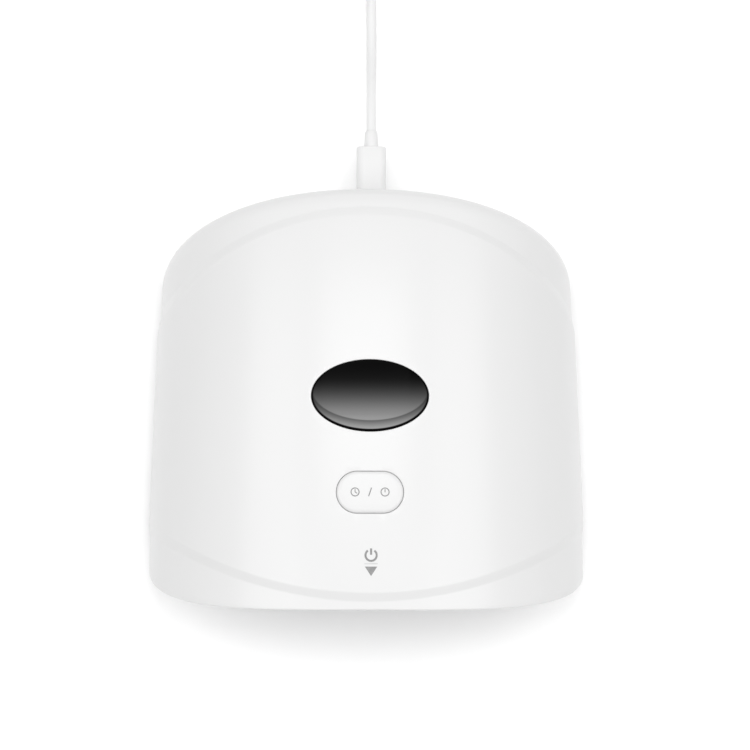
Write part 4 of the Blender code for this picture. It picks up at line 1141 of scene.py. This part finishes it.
def build_lamps(looks):
    """Each lamp is a white ring round a cup, with a yellow chip under a violet dome."""
    yellow = ((0.5, 0.36, 0.05), (0.66, 0.5, 0.08))
    chip_look = make_material("lamp_chip_look", *yellow, (0.4, 0.55), cloud=400.0)
    for name, place in lamp_places():
        parts = []
        for profile in (LAMP_BASE, LAMP_DOME):
            parts.append([at_height(ellipse(r * MM, r * MM, 36), z * MM) for r, z in profile])
        chip = rounded_rectangle(1.5 * MM, 1.5 * MM, 0.15 * MM, 2)
        parts.append([at_height(chip, z * MM) for z in (-0.55, -0.95)])
        bm = bmesh.new()
        for number, loops in enumerate(parts):
            before = len(bm.faces)
            add_loft(bm, loops)
            bm.faces.ensure_lookup_table()
            for face in bm.faces[before:]:
                face.material_index = number
        finishes = (looks["white_board"], looks["lamp_resin"], chip_look)
        lamp = add_object(name + "_piece", mesh_of(bm, name), *finishes)
        settle(lamp, 35.0)
        lamp.matrix_world = place @ Matrix.Translation((0, 0, LINER_WALL))
        own(lamp, "lamp_resin", name)


# ---- frame nodes and floor


KEPT_NODES = {
    "black_plastic": ("display_module", "switch_plunger", "switch_body", "timer_chip", "lamp_driver_chip",
                      "boost_inductor", "infrared_receiver", "usb_socket_tongue"),
    "green_board": ("control_board", "sensor_board", "usb_board"),
    "white_board": ("roof_led_board", "left_led_board", "right_led_board"),
    "white_satin_plastic": ("usb_board_support",),
    "lamp_resin": ("infrared_emitter",),
    "capacitor_can": ("filter_capacitor",),
    "nickel_steel": ("usb_socket", "plug_shell", "board_screw_left", "board_screw_right"),
    "wire_sleeve": ("left_lamp_wire", "right_lamp_wire", "roof_lamp_wire", "sensor_wire", "power_wire"),
}


def dress_frame(looks):
    """Gives each CAD node that still shows the finish of its material slot."""
    for slot_name, names in KEPT_NODES.items():
        for name in names:
            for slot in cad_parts[name].material_slots:
                slot.material = looks[slot_name]


def build_floor():
    bm = bmesh.new()
    bmesh.ops.create_grid(bm, x_segments=8, y_segments=8, size=3.0)
    floor = add_object("floor", mesh_of(bm, "floor"))
    floor.location.z = -FLOOR_DROP
    floor.data.materials.append(
        make_material("pale_floor", grey(0.955), grey(0.965), (0.7, 0.8), cloud=3.0, grain=400.0, relief=0.02,
                      fixed={"Specular IOR Level": 0.1})
    )


def build_looks():
    """One material for each finish; the keys are the record's material slots."""
    metal = {"Metallic": 1.0}
    return {
        "white_gloss_plastic": make_material(
            "gloss_white_look", grey(0.648), grey(0.659), (0.29, 0.32), cloud=9.0, grain=320.0, relief=0.003,
            fixed={"Coat Weight": 0.12, "Coat Roughness": 0.15, "Specular IOR Level": 0.4}),
        "white_satin_plastic": make_material(
            "satin_white_look", grey(0.69), grey(0.715), (0.42, 0.48), relief=0.006, grain=600.0),
        "silver_reflector": make_material(
            "reflector_look", grey(0.78), grey(0.86), (0.1, 0.2), cloud=30.0, grain=120.0, relief=0.03,
            fixed=metal),
        "smoked_lens": lens_material(),
        "black_plastic": make_material(
            "black_plastic_look", grey(0.012), grey(0.022), (0.35, 0.5), relief=0.01),
        "green_board": make_material(
            "green_board_look", (0.01, 0.11, 0.04), (0.02, 0.17, 0.07), (0.3, 0.42), cloud=120.0, grain=900.0,
            relief=0.02, fixed={"Coat Weight": 0.3}),
        "white_board": make_material(
            "white_board_look", grey(0.7), grey(0.76), (0.35, 0.5), cloud=60.0, grain=1200.0),
        "lamp_resin": make_material(
            "lamp_resin_look", (0.62, 0.5, 0.86), (0.72, 0.62, 0.92), (0.06, 0.12), cloud=250.0, relief=0.002,
            fixed={"Transmission Weight": 0.55, "Coat Weight": 0.4}),
        "nickel_steel": make_material(
            "nickel_steel_look", (0.56, 0.55, 0.53), (0.7, 0.69, 0.67), (0.18, 0.32), cloud=90.0, grain=700.0,
            relief=0.004, stretch=(1.0, 12.0, 1.0), fixed=metal),
        "capacitor_can": make_material(
            "capacitor_look", grey(0.5), grey(0.62), (0.25, 0.4), cloud=200.0, fixed={"Metallic": 0.9}),
        "foot_rubber": make_material(
            "foot_rubber_look", grey(0.3), grey(0.37), (0.7, 0.85), cloud=150.0, grain=1500.0, relief=0.03),
        "wire_sleeve": make_material(
            "wire_sleeve_look", (0.45, 0.03, 0.02), (0.6, 0.06, 0.04), (0.35, 0.5), cloud=200.0),
        "white_cord_vinyl": make_material(
            "cord_vinyl_look", grey(0.69), grey(0.73), (0.36, 0.46), cloud=40.0, grain=900.0, relief=0.006),
        "tie_strap": make_material(
            "tie_strap_look", grey(0.012), grey(0.03), (0.75, 0.9), cloud=300.0, grain=1600.0, relief=0.15,
            stretch=(1.0, 1.0, 2.0), fixed={"Sheen Weight": 0.3}),
    }


place_camera()
light_studio()
looks = build_looks()
ink = make_material("grey_ink_look", grey(0.21), grey(0.27), (0.5, 0.62), cloud=700.0, relief=0.004)
faint_ink = make_material("faint_ink_look", grey(0.5), grey(0.56), (0.5, 0.62), cloud=700.0, relief=0.004)

plug_pieces = build_plug(looks["white_satin_plastic"])
far_plug = build_far_plug(looks)
tie = build_tie(looks["tie_strap"])
build_cord(looks["white_cord_vinyl"])
build_hood(looks["white_gloss_plastic"])
build_lens(looks["smoked_lens"])
build_key(looks["white_gloss_plastic"])
build_marks(ink, faint_ink)
build_bezel(looks["white_gloss_plastic"])
build_liner(looks["silver_reflector"])
build_base_frame(looks["white_satin_plastic"])
build_feet(looks["foot_rubber"])
build_screws(looks["nickel_steel"])
build_lamps(looks)
build_floor()
dress_frame(looks)
